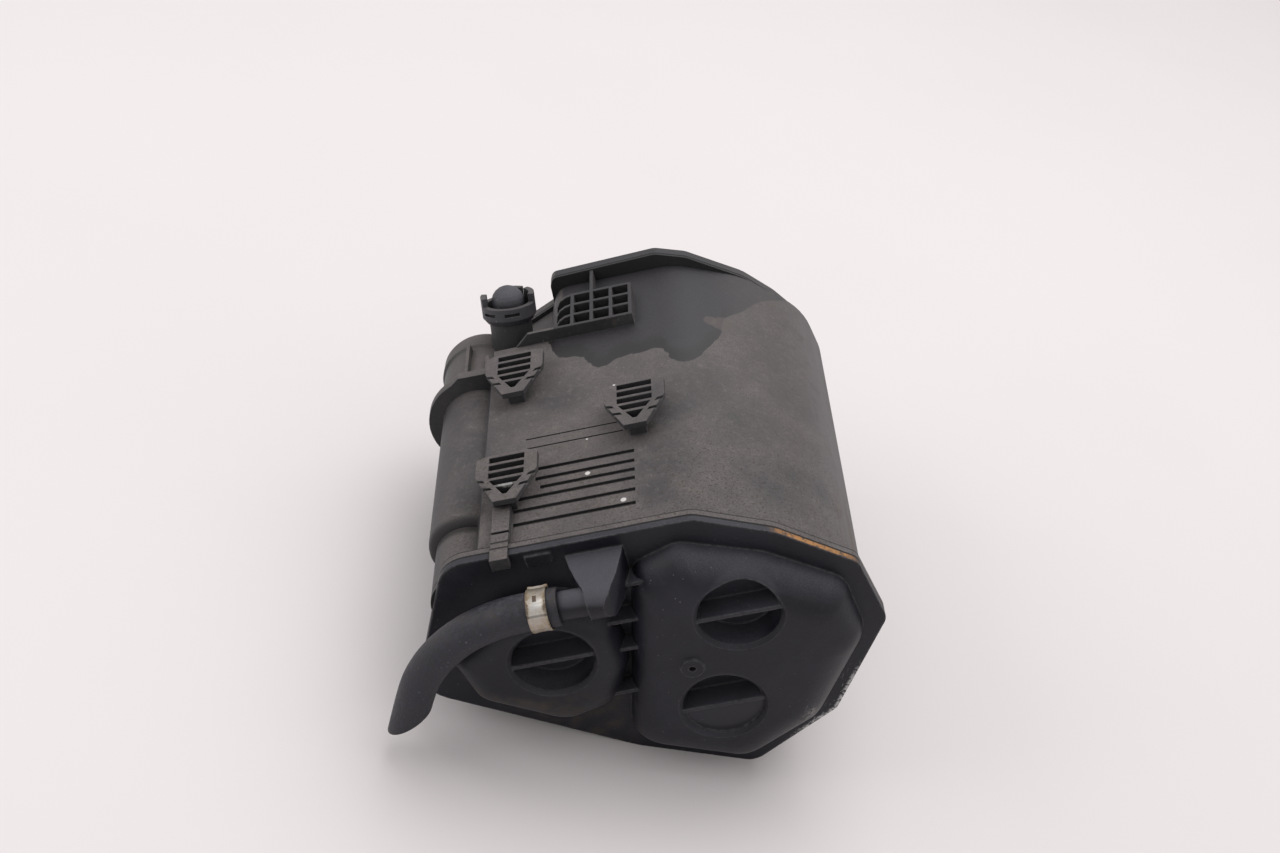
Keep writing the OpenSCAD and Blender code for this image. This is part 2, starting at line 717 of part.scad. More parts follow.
module side_cap() {
    profile = concat([[0, tube_depth], [cap_radius, tube_depth], [cap_radius - cap_taper, tube_depth + cap_step]],
        [for (k = [0:corner_steps]) let (a = 90 * k / corner_steps)
            [cap_radius - cap_round * (1 - cos(a)), k == 0 ? tube_depth + cap_step + cap_taper :
            cap_rear - cap_round * (1 - sin(a))]], [[0, cap_rear]]);
    color("#2d2d2c")
        translate(shift)
            difference() {
                union() {
                    translate([tube_x, 0, tube_z])
                        rotate([-90, 0, 0])
                            rotate_extrude()
                                polygon(profile);
                    difference() {
                        flange(tube_depth, tube_depth + tube_flange);
                        span([face_left - seat_gap, tube_depth - over, 0],
                            [tube_x + 2 * tube_flange_radius, tube_depth + tube_flange + over, cover_height]);
                    }
                    for (f = FINS)
                        translate([tube_x, tube_depth, tube_z])
                            rotate([0, f[0], 0])
                                span([-fin_width / 2, 0, cap_radius - fin_height],
                                    [fin_width / 2, f[1], cap_radius + fin_height]);
                    on_connector()
                        translate([0, 0, -neck_root])
                            cylinder(r = neck_radius, h = neck_root + neck_top);
                }
                along_y(tube_x, tube_z, cap_radius - cap_taper - wall, tube_depth - over, cap_rear - cap_round);
                on_connector()
                    translate([0, 0, neck_floor])
                        cylinder(r = neck_bore, h = neck_top);
            }
}

module connector_collar() {
    reach = 2 * collar_radius;
    color("#303030")
        translate(shift)
            on_connector()
                difference() {
                    union() {
                        translate([0, 0, collar_foot])
                            cylinder(r1 = collar_bore + collar_lip, r2 = collar_radius, h = collar_cone);
                        translate([0, 0, collar_foot + collar_cone])
                            cylinder(r = collar_radius, h = collar_ring + ear_height - collar_foot - collar_cone);
                    }
                    translate([0, 0, collar_foot - over])
                        cylinder(r = collar_bore, h = collar_ring);
                    for (n = NOTCHES)
                        translate([0, 0, collar_ring])
                            linear_extrude(ear_height + over)
                                polygon(concat([[0, 0]], [for (k = [0:notch_steps])
                                    let (a = n[0] + (n[1] - n[0]) * k / notch_steps) reach * [cos(a), sin(a)]]));
                    for (a = COLLAR_SLOTS)
                        rotate([0, 0, a])
                            span([collar_bore - over, -slot_size.x / 2, collar_foot + slot_height],
                                [collar_radius + over, slot_size.x / 2, collar_foot + slot_height + slot_size.y]);
                }
}

module connector_plug() {
    color("#3a3a3c")
        translate(shift)
            on_connector()
                difference() {
                    translate([0, 0, neck_top])
                        rotate_extrude()
                            polygon(concat([[0, -plug_stem_length], [plug_stem, -plug_stem_length], [plug_stem, 0],
                                [plug_radius, 0], [plug_radius, plug_head]],
                                [for (k = [1:plug_steps - 1]) let (a = 90 * k / plug_steps)
                                    [plug_radius * cos(a), plug_head + plug_dome * sin(a)]],
                                [[plug_flat, plug_head + plug_dome], [0, plug_head + plug_dome]]));
                    translate([0, 0, neck_top - ring_depth])
                        difference() {
                            cylinder(r = neck_bore + over, h = ring_groove, center = true);
                            cylinder(r = plug_stem - 2 * ring_radius, h = ring_groove + over, center = true);
                        }
                }
}

module connector_o_ring() {
    color("#151515")
        translate(shift)
            on_connector()
                translate([0, 0, neck_top - ring_depth])
                    rotate_extrude()
                        translate([plug_stem - ring_radius + seat_gap / 2, 0])
                            circle(r = ring_radius);
}

// Hose swept along its route in the plane of the spigot
function route_dir(i) = unit(flat(route[min(i + 1, len(route) - 1)]) - flat(route[max(i - 1, 0)]));
function hose_ring(i, r) =
    let (d = route_dir(i), n = [-d.y, d.x], last = i == len(route) - 1)
    [for (k = [0:hose_sides - 1]) let (a = 360 * k / hose_sides, c = r * cos(a),
        q = flat(route[i]) + c * n - (last ? c * hose_cut : 0) * d) [q.x, -hose_y + r * sin(a), q.y]];

module hose() {
    m = hose_sides;
    rows = len(route);
    outer = [for (i = [0:rows - 1]) each hose_ring(i, hose_diameter / 2)];
    bore = [for (i = [0:rows - 1]) each hose_ring(i, hose_bore / 2)];
    b = rows * m;
    end = (rows - 1) * m;
    skin = [for (i = [0:rows - 2], k = [0:m - 1]) let (j = (k + 1) % m)
        each [[i * m + k, i * m + j, i * m + m + j], [i * m + k, i * m + m + j, i * m + m + k]]];
    lining = [for (f = skin) [b + f[0], b + f[2], b + f[1]]];
    start_face = [for (k = [0:m - 1]) let (j = (k + 1) % m) each [[k, b + k, b + j], [k, b + j, j]]];
    end_face = [for (k = [0:m - 1]) let (j = (k + 1) % m)
        each [[end + k, end + j, b + end + j], [end + k, b + end + j, b + end + k]]];
    color("#232427")
        translate(shift)
            polyhedron(concat(outer, bore), concat(skin, lining, start_face, end_face));
}

module hose_clamp() {
    inside = hose_diameter / 2 + seat_gap;
    color("#b9a878")
        translate(shift)
            along_stub()
                translate([0, 0, clamp_start])
                    difference() {
                        union() {
                            cylinder(r = inside + clamp_thickness, h = clamp_width);
                            rotate([0, 0, clamp_turn])
                                span([inside, -clamp_ear.x / 2, clamp_margin],
                                    [inside + clamp_thickness + clamp_ear.y, clamp_ear.x / 2,
                                    clamp_width - clamp_margin]);
                        }
                        translate([0, 0, -over])
                            cylinder(r = inside, h = clamp_width + 2 * over);
                    }
}

// Coil spring between a pocket's floor and a pressure plate
module spring(p) {
    r = spring_wire / 2;
    rows = spring_turns * spring_steps;
    m = spring_sides;
    run = spring_length - spring_wire;
    points = [for (i = [0:rows], k = [0:m - 1])
        let (t = 360 * i / spring_steps, a = 360 * k / m, w = spring_radius + r * cos(a))
        [w * cos(t), r + run * i / rows + r * sin(a), w * sin(t)]];
    skin = [for (i = [0:rows - 1], k = [0:m - 1]) let (j = (k + 1) % m)
        each [[i * m + k, i * m + j, i * m + m + j], [i * m + k, i * m + m + j, i * m + m + k]]];
    color("#8d8f92")
        translate(shift + [p[0], spring_seat, p[1]])
            polyhedron(points, concat(skin, [[for (k = [m - 1:-1:0]) k], [for (k = [0:m - 1]) rows * m + k]]));
}

module upper_spring() {
    spring(pockets[0]);
}

module lower_spring() {
    spring(pockets[1]);
}

module side_spring() {
    spring(pockets[2]);
}

// Slab across the main chamber
module main_slab(front, rear) {
    prism(outline(inset(main_chamber, filling_gap)), front, rear);
}

// Slab across the side chamber, clear of the side tube
module side_slab(front, rear) {
    difference() {
        prism(outline(inset(side_chamber, filling_gap)), front, rear);
        along_y(tube_x, tube_z, tube_radius + filling_gap, front - over, rear + over);
    }
}

// Rows of holes through a plate, over a field of [x limits, z limits]
module holes(field, front, rear) {
    for (x = [field[0][0]:hole_pitch:field[0][1]], z = [field[1][0]:hole_pitch:field[1][1]])
        along_y(x, z, hole_radius, front - over, rear + over);
}

module main_plate(front) {
    difference() {
        main_slab(front, front + plate_thickness);
        holes(MAIN_HOLES, front, front + plate_thickness);
    }
}

module side_plate(front) {
    difference() {
        side_slab(front, front + plate_thickness);
        holes(SIDE_HOLES, front, front + plate_thickness);
    }
}

module main_pressure_plate() {
    color("#c9c7bd")
        translate(shift)
            main_plate(plate_front);
}

module side_pressure_plate() {
    color("#c9c7bd")
        translate(shift)
            side_plate(plate_front);
}

module main_front_fleece() {
    color("#d8d6cf")
        translate(shift)
            main_slab(fleece_front, bed_front);
}

module side_front_fleece() {
    color("#d8d6cf")
        translate(shift)
            side_slab(fleece_front, bed_front);
}

module main_charcoal_bed() {
    color("#1c1c1d")
        translate(shift)
            main_slab(bed_front, main_bed_rear);
}

module side_charcoal_bed() {
    color("#1c1c1d")
        translate(shift)
            side_slab(bed_front, side_bed_rear);
}

module main_rear_fleece() {
    color("#d8d6cf")
        translate(shift)
            main_slab(main_bed_rear, main_grid_front);
}

module side_rear_fleece() {
    color("#d8d6cf")
        translate(shift)
            side_slab(side_bed_rear, side_grid_front);
}

module main_support_grid() {
    color("#c9c7bd")
        translate(shift)
            main_plate(main_grid_front);
}

module side_support_grid() {
    color("#c9c7bd")
        translate(shift)
            side_plate(side_grid_front);
}

module vent_filter() {
    color("#b9b4a4")
        translate(shift)
            difference() {
                along_y(tube_x, tube_z, tube_radius - tube_wall - seat_gap, tube_neck_length + tube_fillet,
                    tube_depth);
                along_y(tube_x, tube_z, filter_bore, tube_neck_length, tube_depth + over);
            }
}

canister_body();
front_cover();
rear_cover();
side_cap();
connector_collar();
connector_plug();
connector_o_ring();
hose();
hose_clamp();
upper_spring();
lower_spring();
side_spring();
main_pressure_plate();
side_pressure_plate();
main_front_fleece();
side_front_fleece();
main_charcoal_bed();
side_charcoal_bed();
main_rear_fleece();
side_rear_fleece();
main_support_grid();
side_support_grid();
vent_filter();
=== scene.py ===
"""Fuel vapour canister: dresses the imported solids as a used, dusty moulding with its hose and band clamp."""

import math

import bmesh
import bpy
import numpy as np
from bpy.props import FloatProperty, FloatVectorProperty, IntProperty, PointerProperty
from bpy.types import Operator, Panel, PropertyGroup
from mathutils import Matrix, Vector


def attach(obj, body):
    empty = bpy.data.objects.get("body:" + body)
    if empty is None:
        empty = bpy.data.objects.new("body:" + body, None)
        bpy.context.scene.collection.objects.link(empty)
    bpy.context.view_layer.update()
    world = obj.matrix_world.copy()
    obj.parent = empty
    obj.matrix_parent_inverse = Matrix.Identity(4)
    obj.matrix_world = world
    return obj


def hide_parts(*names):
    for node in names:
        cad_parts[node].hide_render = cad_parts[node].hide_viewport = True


bl_info = {
    "name": "Fuel vapour canister",
    "version": (1, 0, 0),
    "blender": (4, 5, 0),
    "location": "View3D > Sidebar > Canister",
    "description": "Builds the dressed fuel vapour canister over its packed solids",
    "category": "Object",
}

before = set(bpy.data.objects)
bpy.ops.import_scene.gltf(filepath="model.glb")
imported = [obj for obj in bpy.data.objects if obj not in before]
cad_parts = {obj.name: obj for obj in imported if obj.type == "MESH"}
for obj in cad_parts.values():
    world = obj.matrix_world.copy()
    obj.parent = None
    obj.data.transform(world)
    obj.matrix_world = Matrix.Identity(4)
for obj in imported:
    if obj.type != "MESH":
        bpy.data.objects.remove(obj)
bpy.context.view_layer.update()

# Depth of the front seam with its width, of the rear seam and of the spigot's plane, in the canister's frame
SEAM_Y = -0.110525
SEAM_WIDTH = 0.0040
REAR_SEAM_Y = 0.1068
HOSE_Y = -0.136525

# Hose route from the spigot's shoulder to the free end, as x and z in the plane of the spigot
HOSE_ROUTE = np.array([
    [-0.04351, 0.1040], [-0.05081, 0.1006], [-0.05801, 0.0972], [-0.06651, 0.0925], [-0.07431, 0.0866],
    [-0.08131, 0.0797], [-0.08711, 0.0719], [-0.09191, 0.0633], [-0.09541, 0.0542], [-0.09741, 0.0459],
    [-0.09831, 0.0374], [-0.09911, 0.0216],
])

# Front edge of the damp patch on the top face, as x and y, from the left end to the rear lip
DAMP_EDGE = [
    (-0.070, 0.118), (-0.0545, 0.060), (-0.0525, 0.046), (-0.0485, 0.038), (-0.039, 0.0345),
    (-0.034, 0.027), (-0.029, 0.0215), (-0.020, 0.0268), (-0.010, 0.0270), (-0.0015, 0.0282),
    (0.0045, 0.0165), (0.011, 0.0140), (0.0175, 0.0185), (0.0225, 0.0275), (0.0315, 0.0445),
    (0.0335, 0.0580), (0.044, 0.0690), (0.0565, 0.0880), (0.070, 0.1010), (0.090, 0.118),
]

# Dry dust that reaches into the damp patch, as centre and reach
DRY_PATCHES = [((0.0330, 0.0535, 0.1435), 0.0072), ((0.0262, 0.0545, 0.1435), 0.0042)]

# Dried drops on the tub, as centre, radius and tone
DROPS = [
    ((-0.0351, -0.0636, 0.1232), 0.0015, 0.66), ((-0.0197, -0.0882, 0.1304), 0.0016, 0.66),
    ((-0.0355, -0.0370, 0.1230), 0.0007, 0.60), ((-0.0252, -0.0111, 0.1389), 0.0008, 0.60),
    ((-0.0747, -0.0721, 0.1156), 0.0019, 0.26), ((-0.0729, -0.0726, 0.1164), 0.0021, 0.30),
    ((-0.0711, -0.0732, 0.1173), 0.0019, 0.26),
]

# Dark clouds in the tub's dust, as centre, reach and strength
CLOUDS = [
    ((-0.0035, -0.0640, 0.1381), 0.030, 0.70), ((0.0500, -0.0740, 0.1420), 0.030, 0.60),
    ((0.0010, -0.0260, 0.1420), 0.028, 0.70), ((-0.0500, 0.0000, 0.1160), 0.024, 0.60),
    ((-0.0051, -0.0883, 0.1373), 0.016, 0.75), ((0.0803, -0.0610, 0.1304), 0.017, 0.80),
    ((0.0387, -0.0290, 0.1435), 0.028, 0.45), ((0.0730, 0.0100, 0.1340), 0.030, 0.40),
    ((0.0176, -0.0013, 0.1435), 0.024, 0.45), ((-0.0900, -0.0250, 0.0920), 0.034, 0.75),
    ((-0.0920, 0.0120, 0.0900), 0.026, 0.70), ((-0.0920, -0.0550, 0.0900), 0.024, 0.70),
]

# Centres of the spring pockets, half-way down
POCKETS = [(0.0367, -0.1230, 0.1115), (0.0432, -0.1230, 0.0549), (-0.0405, -0.1230, 0.0650)]

# Places of single marks on the front cover and the middle of the end cap's neck
VALLEY_FOOT = (-0.018, -0.118, 0.020)
SCUFFED_RIM = (0.1010, -0.1145, 0.0460)
KNOCKED_SHOULDER = (0.0875, -0.1280, 0.0510)
NECK_MIDDLE = (-0.074, 0.070, 0.113)

# Right and lower right edges of the front rim, as a, b and c of a + b x + c z, which grows inwards from 0
RIM_LINES = [(0.0995, -1.0, 0.1016), (0.0619, -0.8306, 0.5569)]

# Band clamp's profile, over the outside and back along the inside, as shares of its width and thickness
BAND_ACROSS = np.array([0.0, 0.0, 0.06, 0.16, 0.24, 0.5, 0.76, 0.84, 0.94, 1.0, 1.0, 0.94, 0.5, 0.06])
BAND_LEVEL = np.array([0.3, 0.85, 1.0, 0.9, 0.72, 0.72, 0.72, 0.9, 1.0, 0.85, 0.3, 0.0, 0.0, 0.0])

# Overlapped end and ear of the band, as rise in thicknesses, first angle, last angle and width of the flanks
BAND_LAP = (0.32, math.radians(250), math.radians(330), 0.06)
BAND_EAR = (1.4, math.radians(50), math.radians(70), 0.07)
BAND_CREASE = math.radians(50)

# Gap between hose and clamp, and the stretch that keeps the bore's pattern apart from the outside's
CLAMP_GAP = 0.0003
PATTERN_GAP = 0.01

# Distances within which loose corners are joined and slivers are taken out
JOIN_GAP = 2e-6
SLIVER = 1e-6

# Size and place of both lights, the point they look at, the sky's tint and the sensor's width in millimetres
KEY_LIGHT = (1.6, (0.35, 0.55, 1.7))
SIDE_LIGHT = (1.1, (-1.5, -0.2, 0.9))
LIGHT_TARGET = (0.0, 0.0, 0.05)
SKY_TINT = (1.0, 0.985, 0.98, 1.0)
SENSOR_WIDTH = 36.0

# Colours of the single marks and stains, and of the painted shade, shadow, highlight and reflection
TONES = {
    # Painted shade for inner corners, with some crevice grime
    "corner_shade_and_grime": (0.010, 0.009, 0.009),
    "cloud": (0.042, 0.040, 0.046),
    "dark_speck": (0.070, 0.061, 0.058),
    "pale_speck": (0.250, 0.222, 0.206),
    "shoulder": (0.190, 0.180, 0.188),
    "tube_foot_shadow": (0.012, 0.011, 0.012),
    "streak": (0.058, 0.056, 0.064),
    "damp_rim": (0.019, 0.0175, 0.0175),
    "seam": (0.005, 0.005, 0.005),
    "rear_seam": (0.006, 0.006, 0.006),
    "lip_face": (0.010, 0.010, 0.011),
    "valley": (0.050, 0.040, 0.033),
    "dome_foot_soil_and_reflection": (0.095, 0.074, 0.058),
    "rim_scuff": (0.52, 0.51, 0.51),
    "scratch": (0.34, 0.34, 0.34),
    "knock": (0.36, 0.34, 0.32),
    "neck": (0.010, 0.010, 0.012),
    "rubber_patch": (0.013, 0.013, 0.020),
    "rubber_wrap": (0.030, 0.031, 0.058),
    "band_stain": (0.40, 0.345, 0.255),
    "band_rust": (0.14, 0.095, 0.060),
    "band_ends": (0.27, 0.205, 0.135),
    "band_lap": (0.10, 0.085, 0.070),
    "band_slot": (0.11, 0.070, 0.045),
}


class CanisterSizes(PropertyGroup):
    """Sizes of the pieces that are drawn here."""

    hose_diameter: FloatProperty(name="Hose diameter", description="Outer diameter of the hose",
                                 default=0.0175, unit="LENGTH")
    hose_bore: FloatProperty(name="Hose bore", description="Inner diameter of the hose", default=0.0124,
                             unit="LENGTH")
    hose_cut: FloatProperty(name="Hose cut", description="Slope of the cut at the hose's free end",
                            default=1.1)
    clamp_start: FloatProperty(name="Clamp start", description="Clamp's distance from the spigot's shoulder",
                               default=0.0045, unit="LENGTH")
    clamp_width: FloatProperty(name="Clamp width", description="Width of the band clamp", default=0.009,
                               unit="LENGTH")
    clamp_thickness: FloatProperty(name="Clamp thickness", description="Thickness of the band clamp",
                                   default=0.0009, unit="LENGTH")
    edge_radius: FloatProperty(name="Edge radius", description="Softness of the moulded edges",
                               default=0.0007, unit="LENGTH")
    cover_edge: FloatProperty(name="Cover edge radius", description="Softness of the front cover's edges",
                              default=0.0018, unit="LENGTH")
    # Reach of the painted shade that darkens inner corners, with some crevice grime
    shade_reach: FloatProperty(name="Grime reach", description="Spread of the dark grime from inner corners",
                               default=0.004, unit="LENGTH")
    crease: FloatProperty(name="Crease angle", description="Edges sharper than this stay sharp",
                          default=math.radians(27), subtype="ANGLE")
    cover_crease: FloatProperty(name="Cover crease angle", description="Crease angle of the front cover",
                                default=math.radians(40), subtype="ANGLE")
    rings: IntProperty(name="Hose rings", description="Rings along the hose", default=110)
    sides: IntProperty(name="Round sides", description="Sides of the hose and of the clamp", default=64)


class CanisterColours(PropertyGroup):
    """Colours of the finishes."""

    housing: FloatVectorProperty(name="Housing", description="Bare plastic of the tub", subtype="COLOR",
                                 default=(0.020, 0.020, 0.022), min=0, max=1)
    cover: FloatVectorProperty(name="Cover", description="Bare plastic of the front cover", subtype="COLOR",
                               default=(0.0060, 0.0060, 0.0100), min=0, max=1)
    cap: FloatVectorProperty(name="Cap", description="Bare plastic of the end cap", subtype="COLOR",
                             default=(0.020, 0.021, 0.021), min=0, max=1)
    plug: FloatVectorProperty(name="Plug", description="Plastic of the connector", subtype="COLOR",
                              default=(0.020, 0.020, 0.025), min=0, max=1)
    dust: FloatVectorProperty(name="Dust", description="Dry dust on faces that look up", subtype="COLOR",
                              default=(0.192, 0.165, 0.161), min=0, max=1)
    film: FloatVectorProperty(name="Film", description="Thin bluish dust on the cover and the hose",
                              subtype="COLOR", default=(0.118, 0.116, 0.136), min=0, max=1)
    soil: FloatVectorProperty(name="Soil", description="Brown soil in hollows", subtype="COLOR",
                              default=(0.120, 0.090, 0.068), min=0, max=1)
    damp: FloatVectorProperty(name="Damp", description="Clean damp patch on the top face", subtype="COLOR",
                              default=(0.026, 0.025, 0.030), min=0, max=1)
    rust: FloatVectorProperty(name="Rust", description="Orange soil on the seam", subtype="COLOR",
                              default=(0.420, 0.210, 0.085), min=0, max=1)
    scuff: FloatVectorProperty(name="Scuff", description="Pale scuffs and worn edges", subtype="COLOR",
                               default=(0.330, 0.320, 0.320), min=0, max=1)
    hose: FloatVectorProperty(name="Hose", description="Rubber of the hose", subtype="COLOR",
                              default=(0.0070, 0.0072, 0.0120), min=0, max=1)
    zinc: FloatVectorProperty(name="Zinc", description="Plated band of the clamp", subtype="COLOR",
                              default=(0.600, 0.580, 0.560), min=0, max=1)
    fleece: FloatVectorProperty(name="Fleece", description="Filter fleece and light plastic", subtype="COLOR",
                                default=(0.560, 0.540, 0.480), min=0, max=1)
    charcoal: FloatVectorProperty(name="Charcoal", description="Charcoal grains", subtype="COLOR",
                                  default=(0.012, 0.012, 0.013), min=0, max=1)
    steel: FloatVectorProperty(name="Steel", description="Wire of the springs", subtype="COLOR",
                               default=(0.460, 0.465, 0.470), min=0, max=1)


class CanisterStage(PropertyGroup):
    """Camera, floor and light."""

    camera_place: FloatVectorProperty(name="Camera place", description="Where the camera stands",
                                      subtype="TRANSLATION", default=(-0.12916, -0.69033, 0.61208))
    camera_right: FloatVectorProperty(name="Camera right", description="Direction rightwards in the picture",
                                      subtype="DIRECTION", default=(0.9772, -0.0212, 0.2113))
    camera_up: FloatVectorProperty(name="Camera up", description="Direction upwards in the picture",
                                   subtype="DIRECTION", default=(-0.1566, 0.6003, 0.7843))
    lens: FloatProperty(name="Lens", description="Focal length in millimetres", default=47.81)
    floor_size: FloatProperty(name="Floor size", description="Half width of the floor", default=4.0,
                              unit="LENGTH")
    floor: FloatVectorProperty(name="Floor", description="Colour of the floor", subtype="COLOR",
                               default=(0.860, 0.812, 0.818), min=0, max=1)
    sky: FloatProperty(name="Sky", description="Strength of the even light from all round", default=0.64)
    key: FloatProperty(name="Key light", description="Power of the light overhead", default=14.0)
    side: FloatProperty(name="Side light", description="Power of the light from the left", default=6.0)


def sizes():
    """The size settings of the open scene."""
    return bpy.context.scene.canister_sizes


def colours():
    """The colour settings of the open scene."""
    return bpy.context.scene.canister_colours


# Material building


def add(tree, kind, settings=None, **inputs):
    """Adds one shader node. Each input is a socket to link or a value to set; _2 is the input at place 2."""
    made = tree.nodes.new("ShaderNode" + kind)
    for key, value in (settings or {}).items():
        setattr(made, key, value)
    for key, value in inputs.items():
        place = made.inputs[int(key[1:])] if key[0] == "_" else made.inputs[key.replace("_", " ")]
        if isinstance(value, bpy.types.NodeSocket):
            tree.links.new(value, place)
        else:
            place.default_value = value
    return made


class Finish:
    """A material in the making: colour, roughness and height, which each layer takes over under its mask."""

    def __init__(self, name, base, rough, metallic=0.0, uv=False):
        self.material = bpy.data.materials.new(name)
        self.material.use_nodes = True
        self.tree = self.material.node_tree
        self.tree.nodes.clear()
        self.metallic = metallic
        self.place = add(self.tree, "TexCoord").outputs["UV" if uv else "Object"]
        self.normal = add(self.tree, "NewGeometry").outputs["Normal"]
        self.up = self.parts(self.normal)[2]
        self.colour = (*base, 1.0)
        self.rough = rough
        self.height = None
        self.soft = None

    def parts(self, vector):
        """The three components of a vector."""
        return add(self.tree, "SeparateXYZ", Vector=vector).outputs

    def math(self, how, a, b=0.0, c=0.0):
        """One arithmetic step."""
        return add(self.tree, "Math", {"operation": how}, _0=a, _1=b, _2=c).outputs[0]

    def rise(self, value, low, high):
        """Smooth rise from 0 at low to 1 at high; low above high gives a fall."""
        if low > high:
            return self.math("SUBTRACT", 1.0, self.rise(value, high, low))
        ramp = add(self.tree, "MapRange", {"interpolation_type": "SMOOTHSTEP"}, Value=value)
        ramp.inputs["From Min"].default_value = low
        ramp.inputs["From Max"].default_value = high
        return ramp.outputs["Result"]

    def span(self, mask, low, high):
        """Low where the mask is nothing, high where it is one, and straight between them."""
        return self.math("MULTIPLY_ADD", mask, high - low, low)

    def both(self, *masks):
        """Product of masks."""
        made = masks[0]
        for mask in masks[1:]:
            made = self.math("MULTIPLY", made, mask)
        return made

    def window(self, value, low, high, soft):
        """One between low and high, falling to nothing over soft on either side."""
        return self.both(self.rise(value, low - soft, low), self.rise(value, high + soft, high))

    def near(self, centre, inner, outer, place=None):
        """One within inner of a point, falling to nothing at outer."""
        gap = add(self.tree, "VectorMath", {"operation": "DISTANCE"}, _0=place or self.place, _1=centre)
        return self.rise(gap.outputs["Value"], outer, inner)

    def noise(self, scale, detail=4.0, rough=0.55, place=None):
        """Cloudy noise around one half; scale counts blobs per metre."""
        return add(self.tree, "TexNoise", Vector=place or self.place, Scale=scale, Detail=detail,
                   Roughness=rough).outputs[0]

    def cells(self, scale):
        """Distance to the nearest of scattered points; scale counts points per metre."""
        return add(self.tree, "TexVoronoi", Vector=self.place, Scale=scale).outputs["Distance"]

    def stretched(self, x, y, z):
        """The surface's own coordinates, multiplied by x, y and z."""
        return add(self.tree, "Mapping", Vector=self.place, Scale=(x, y, z)).outputs[0]

    def warped(self, scale, reach):
        """The surface's own coordinates, pushed about by cloudy noise by up to the reach in metres."""
        cloud = add(self.tree, "TexNoise", Vector=self.place, Scale=scale, Detail=4.0)
        pushed = add(self.tree, "VectorMath", {"operation": "MULTIPLY_ADD"}, _0=cloud.outputs["Color"],
                     _1=(2 * reach,) * 3, _2=self.place)
        return add(self.tree, "VectorMath", {"operation": "SUBTRACT"}, _0=pushed.outputs[0],
                   _1=(reach,) * 3).outputs[0]

    def layer(self, mask, colour, rough=None, height=None, share=1.0):
        """Lays a share of a colour and a roughness over the finish under a mask, raised by height metres."""
        if share != 1.0:
            mask = self.math("MULTIPLY", mask, share)
        mixed = add(self.tree, "Mix", {"data_type": "RGBA"}, _0=mask, _6=self.colour, _7=(*colour, 1.0))
        self.colour = mixed.outputs[2]
        if rough is not None:
            change = self.math("SUBTRACT", rough, self.rough)
            self.rough = self.math("MULTIPLY_ADD", mask, change, self.rough)
        if height is not None:
            self.relief(mask, height)

    def relief(self, field, height):
        """Raises the finish by height metres where the field is one."""
        raised = self.math("MULTIPLY", field, height)
        self.height = raised if self.height is None else self.math("ADD", self.height, raised)

    def soften(self, radius):
        """Rounds the sharp edges in the shading and returns the mask of those edges."""
        flat, turned = 0.985, 0.80
        self.soft = add(self.tree, "Bevel", {"samples": 6}, Radius=radius).outputs[0]
        turn = add(self.tree, "VectorMath", {"operation": "DOT_PRODUCT"}, _0=self.soft, _1=self.normal)
        return self.rise(turn.outputs["Value"], flat, turned)

    def close(self, specular=0.5):
        """Joins the finish to a surface shader and returns the material."""
        shader = add(self.tree, "BsdfPrincipled", Base_Color=self.colour, Roughness=self.rough)
        shader.inputs["Metallic"].default_value = self.metallic
        shader.inputs["Specular IOR Level"].default_value = specular
        if self.height is not None:
            bump = add(self.tree, "Bump", Height=self.height)
            bump.inputs["Distance"].default_value = 1.0
            if self.soft is not None:
                self.tree.links.new(self.soft, bump.inputs["Normal"])
            self.tree.links.new(bump.outputs[0], shader.inputs["Normal"])
        elif self.soft is not None:
            self.tree.links.new(self.soft, shader.inputs["Normal"])
        output = add(self.tree, "OutputMaterial")
        self.tree.links.new(shader.outputs[0], output.inputs["Surface"])
        return self.material


def moulded(name, base, rough, dust, film=None, tilt=0.05, specks=1.0, soil=0.0, edge=None):
    """Moulded plastic: fine grain, mottling, dust on faces that look up, soil in patches, paler edges, and
    painted shade with some grime in inner corners.

    dust, specks and soil are the strengths of those layers. film is the dust's colour, tilt the upward turn
    from which a face holds dust, and edge the radius of the softened edges.
    """
    tint = colours()
    finish = Finish(name, base, rough)
    edges = finish.soften(edge or sizes().edge_radius)
    cloud = finish.noise(26.0, detail=5.0, rough=0.6)
    fine = finish.noise(420.0, detail=3.0, rough=0.6)
    grain = finish.noise(1500.0, detail=3.0, rough=0.6)
    lifted = tuple(min(1.0, 1.8 * c + 0.004) for c in base)
    finish.layer(finish.rise(cloud, 0.35, 0.75), lifted, rough=rough + 0.08)
    up = finish.rise(finish.up, tilt, 0.95)
    patchy = finish.span(finish.rise(finish.noise(48.0, detail=6.0, rough=0.65), 0.25, 0.75), 0.6, 1.0)
    thin = finish.span(finish.rise(grain, 0.3, 0.7), 0.5, 1.0)
    finish.layer(finish.both(up, patchy, thin), film or tint.dust, rough=0.86, share=dust)
    if soil:
        blots = finish.rise(finish.noise(30.0, detail=6.0, rough=0.7), 0.52, 0.72)
        finish.layer(finish.both(blots, finish.rise(fine, 0.42, 0.62)), tint.soil, rough=0.9, share=soil)
    dots = finish.both(finish.rise(finish.cells(240.0), 0.10, 0.05), finish.rise(cloud, 0.45, 0.65))
    finish.layer(dots, tint.scuff, rough=0.8, share=0.5 * specks)
    finish.layer(finish.both(edges, finish.rise(fine, 0.25, 0.7)), tint.scuff, rough=0.6, share=0.26)
    # Painted shade: ambient occlusion darkens inner corners and the feet of raised parts, with a little
    # crevice grime in the same layer
    hollow = add(finish.tree, "AmbientOcclusion", {"samples": 6}, Distance=sizes().shade_reach)
    finish.layer(finish.rise(hollow.outputs["AO"], 0.75, 0.25), TONES["corner_shade_and_grime"], rough=0.8, share=0.75)
    finish.relief(grain, 0.00008)
    finish.relief(fine, 0.00010)
    return finish


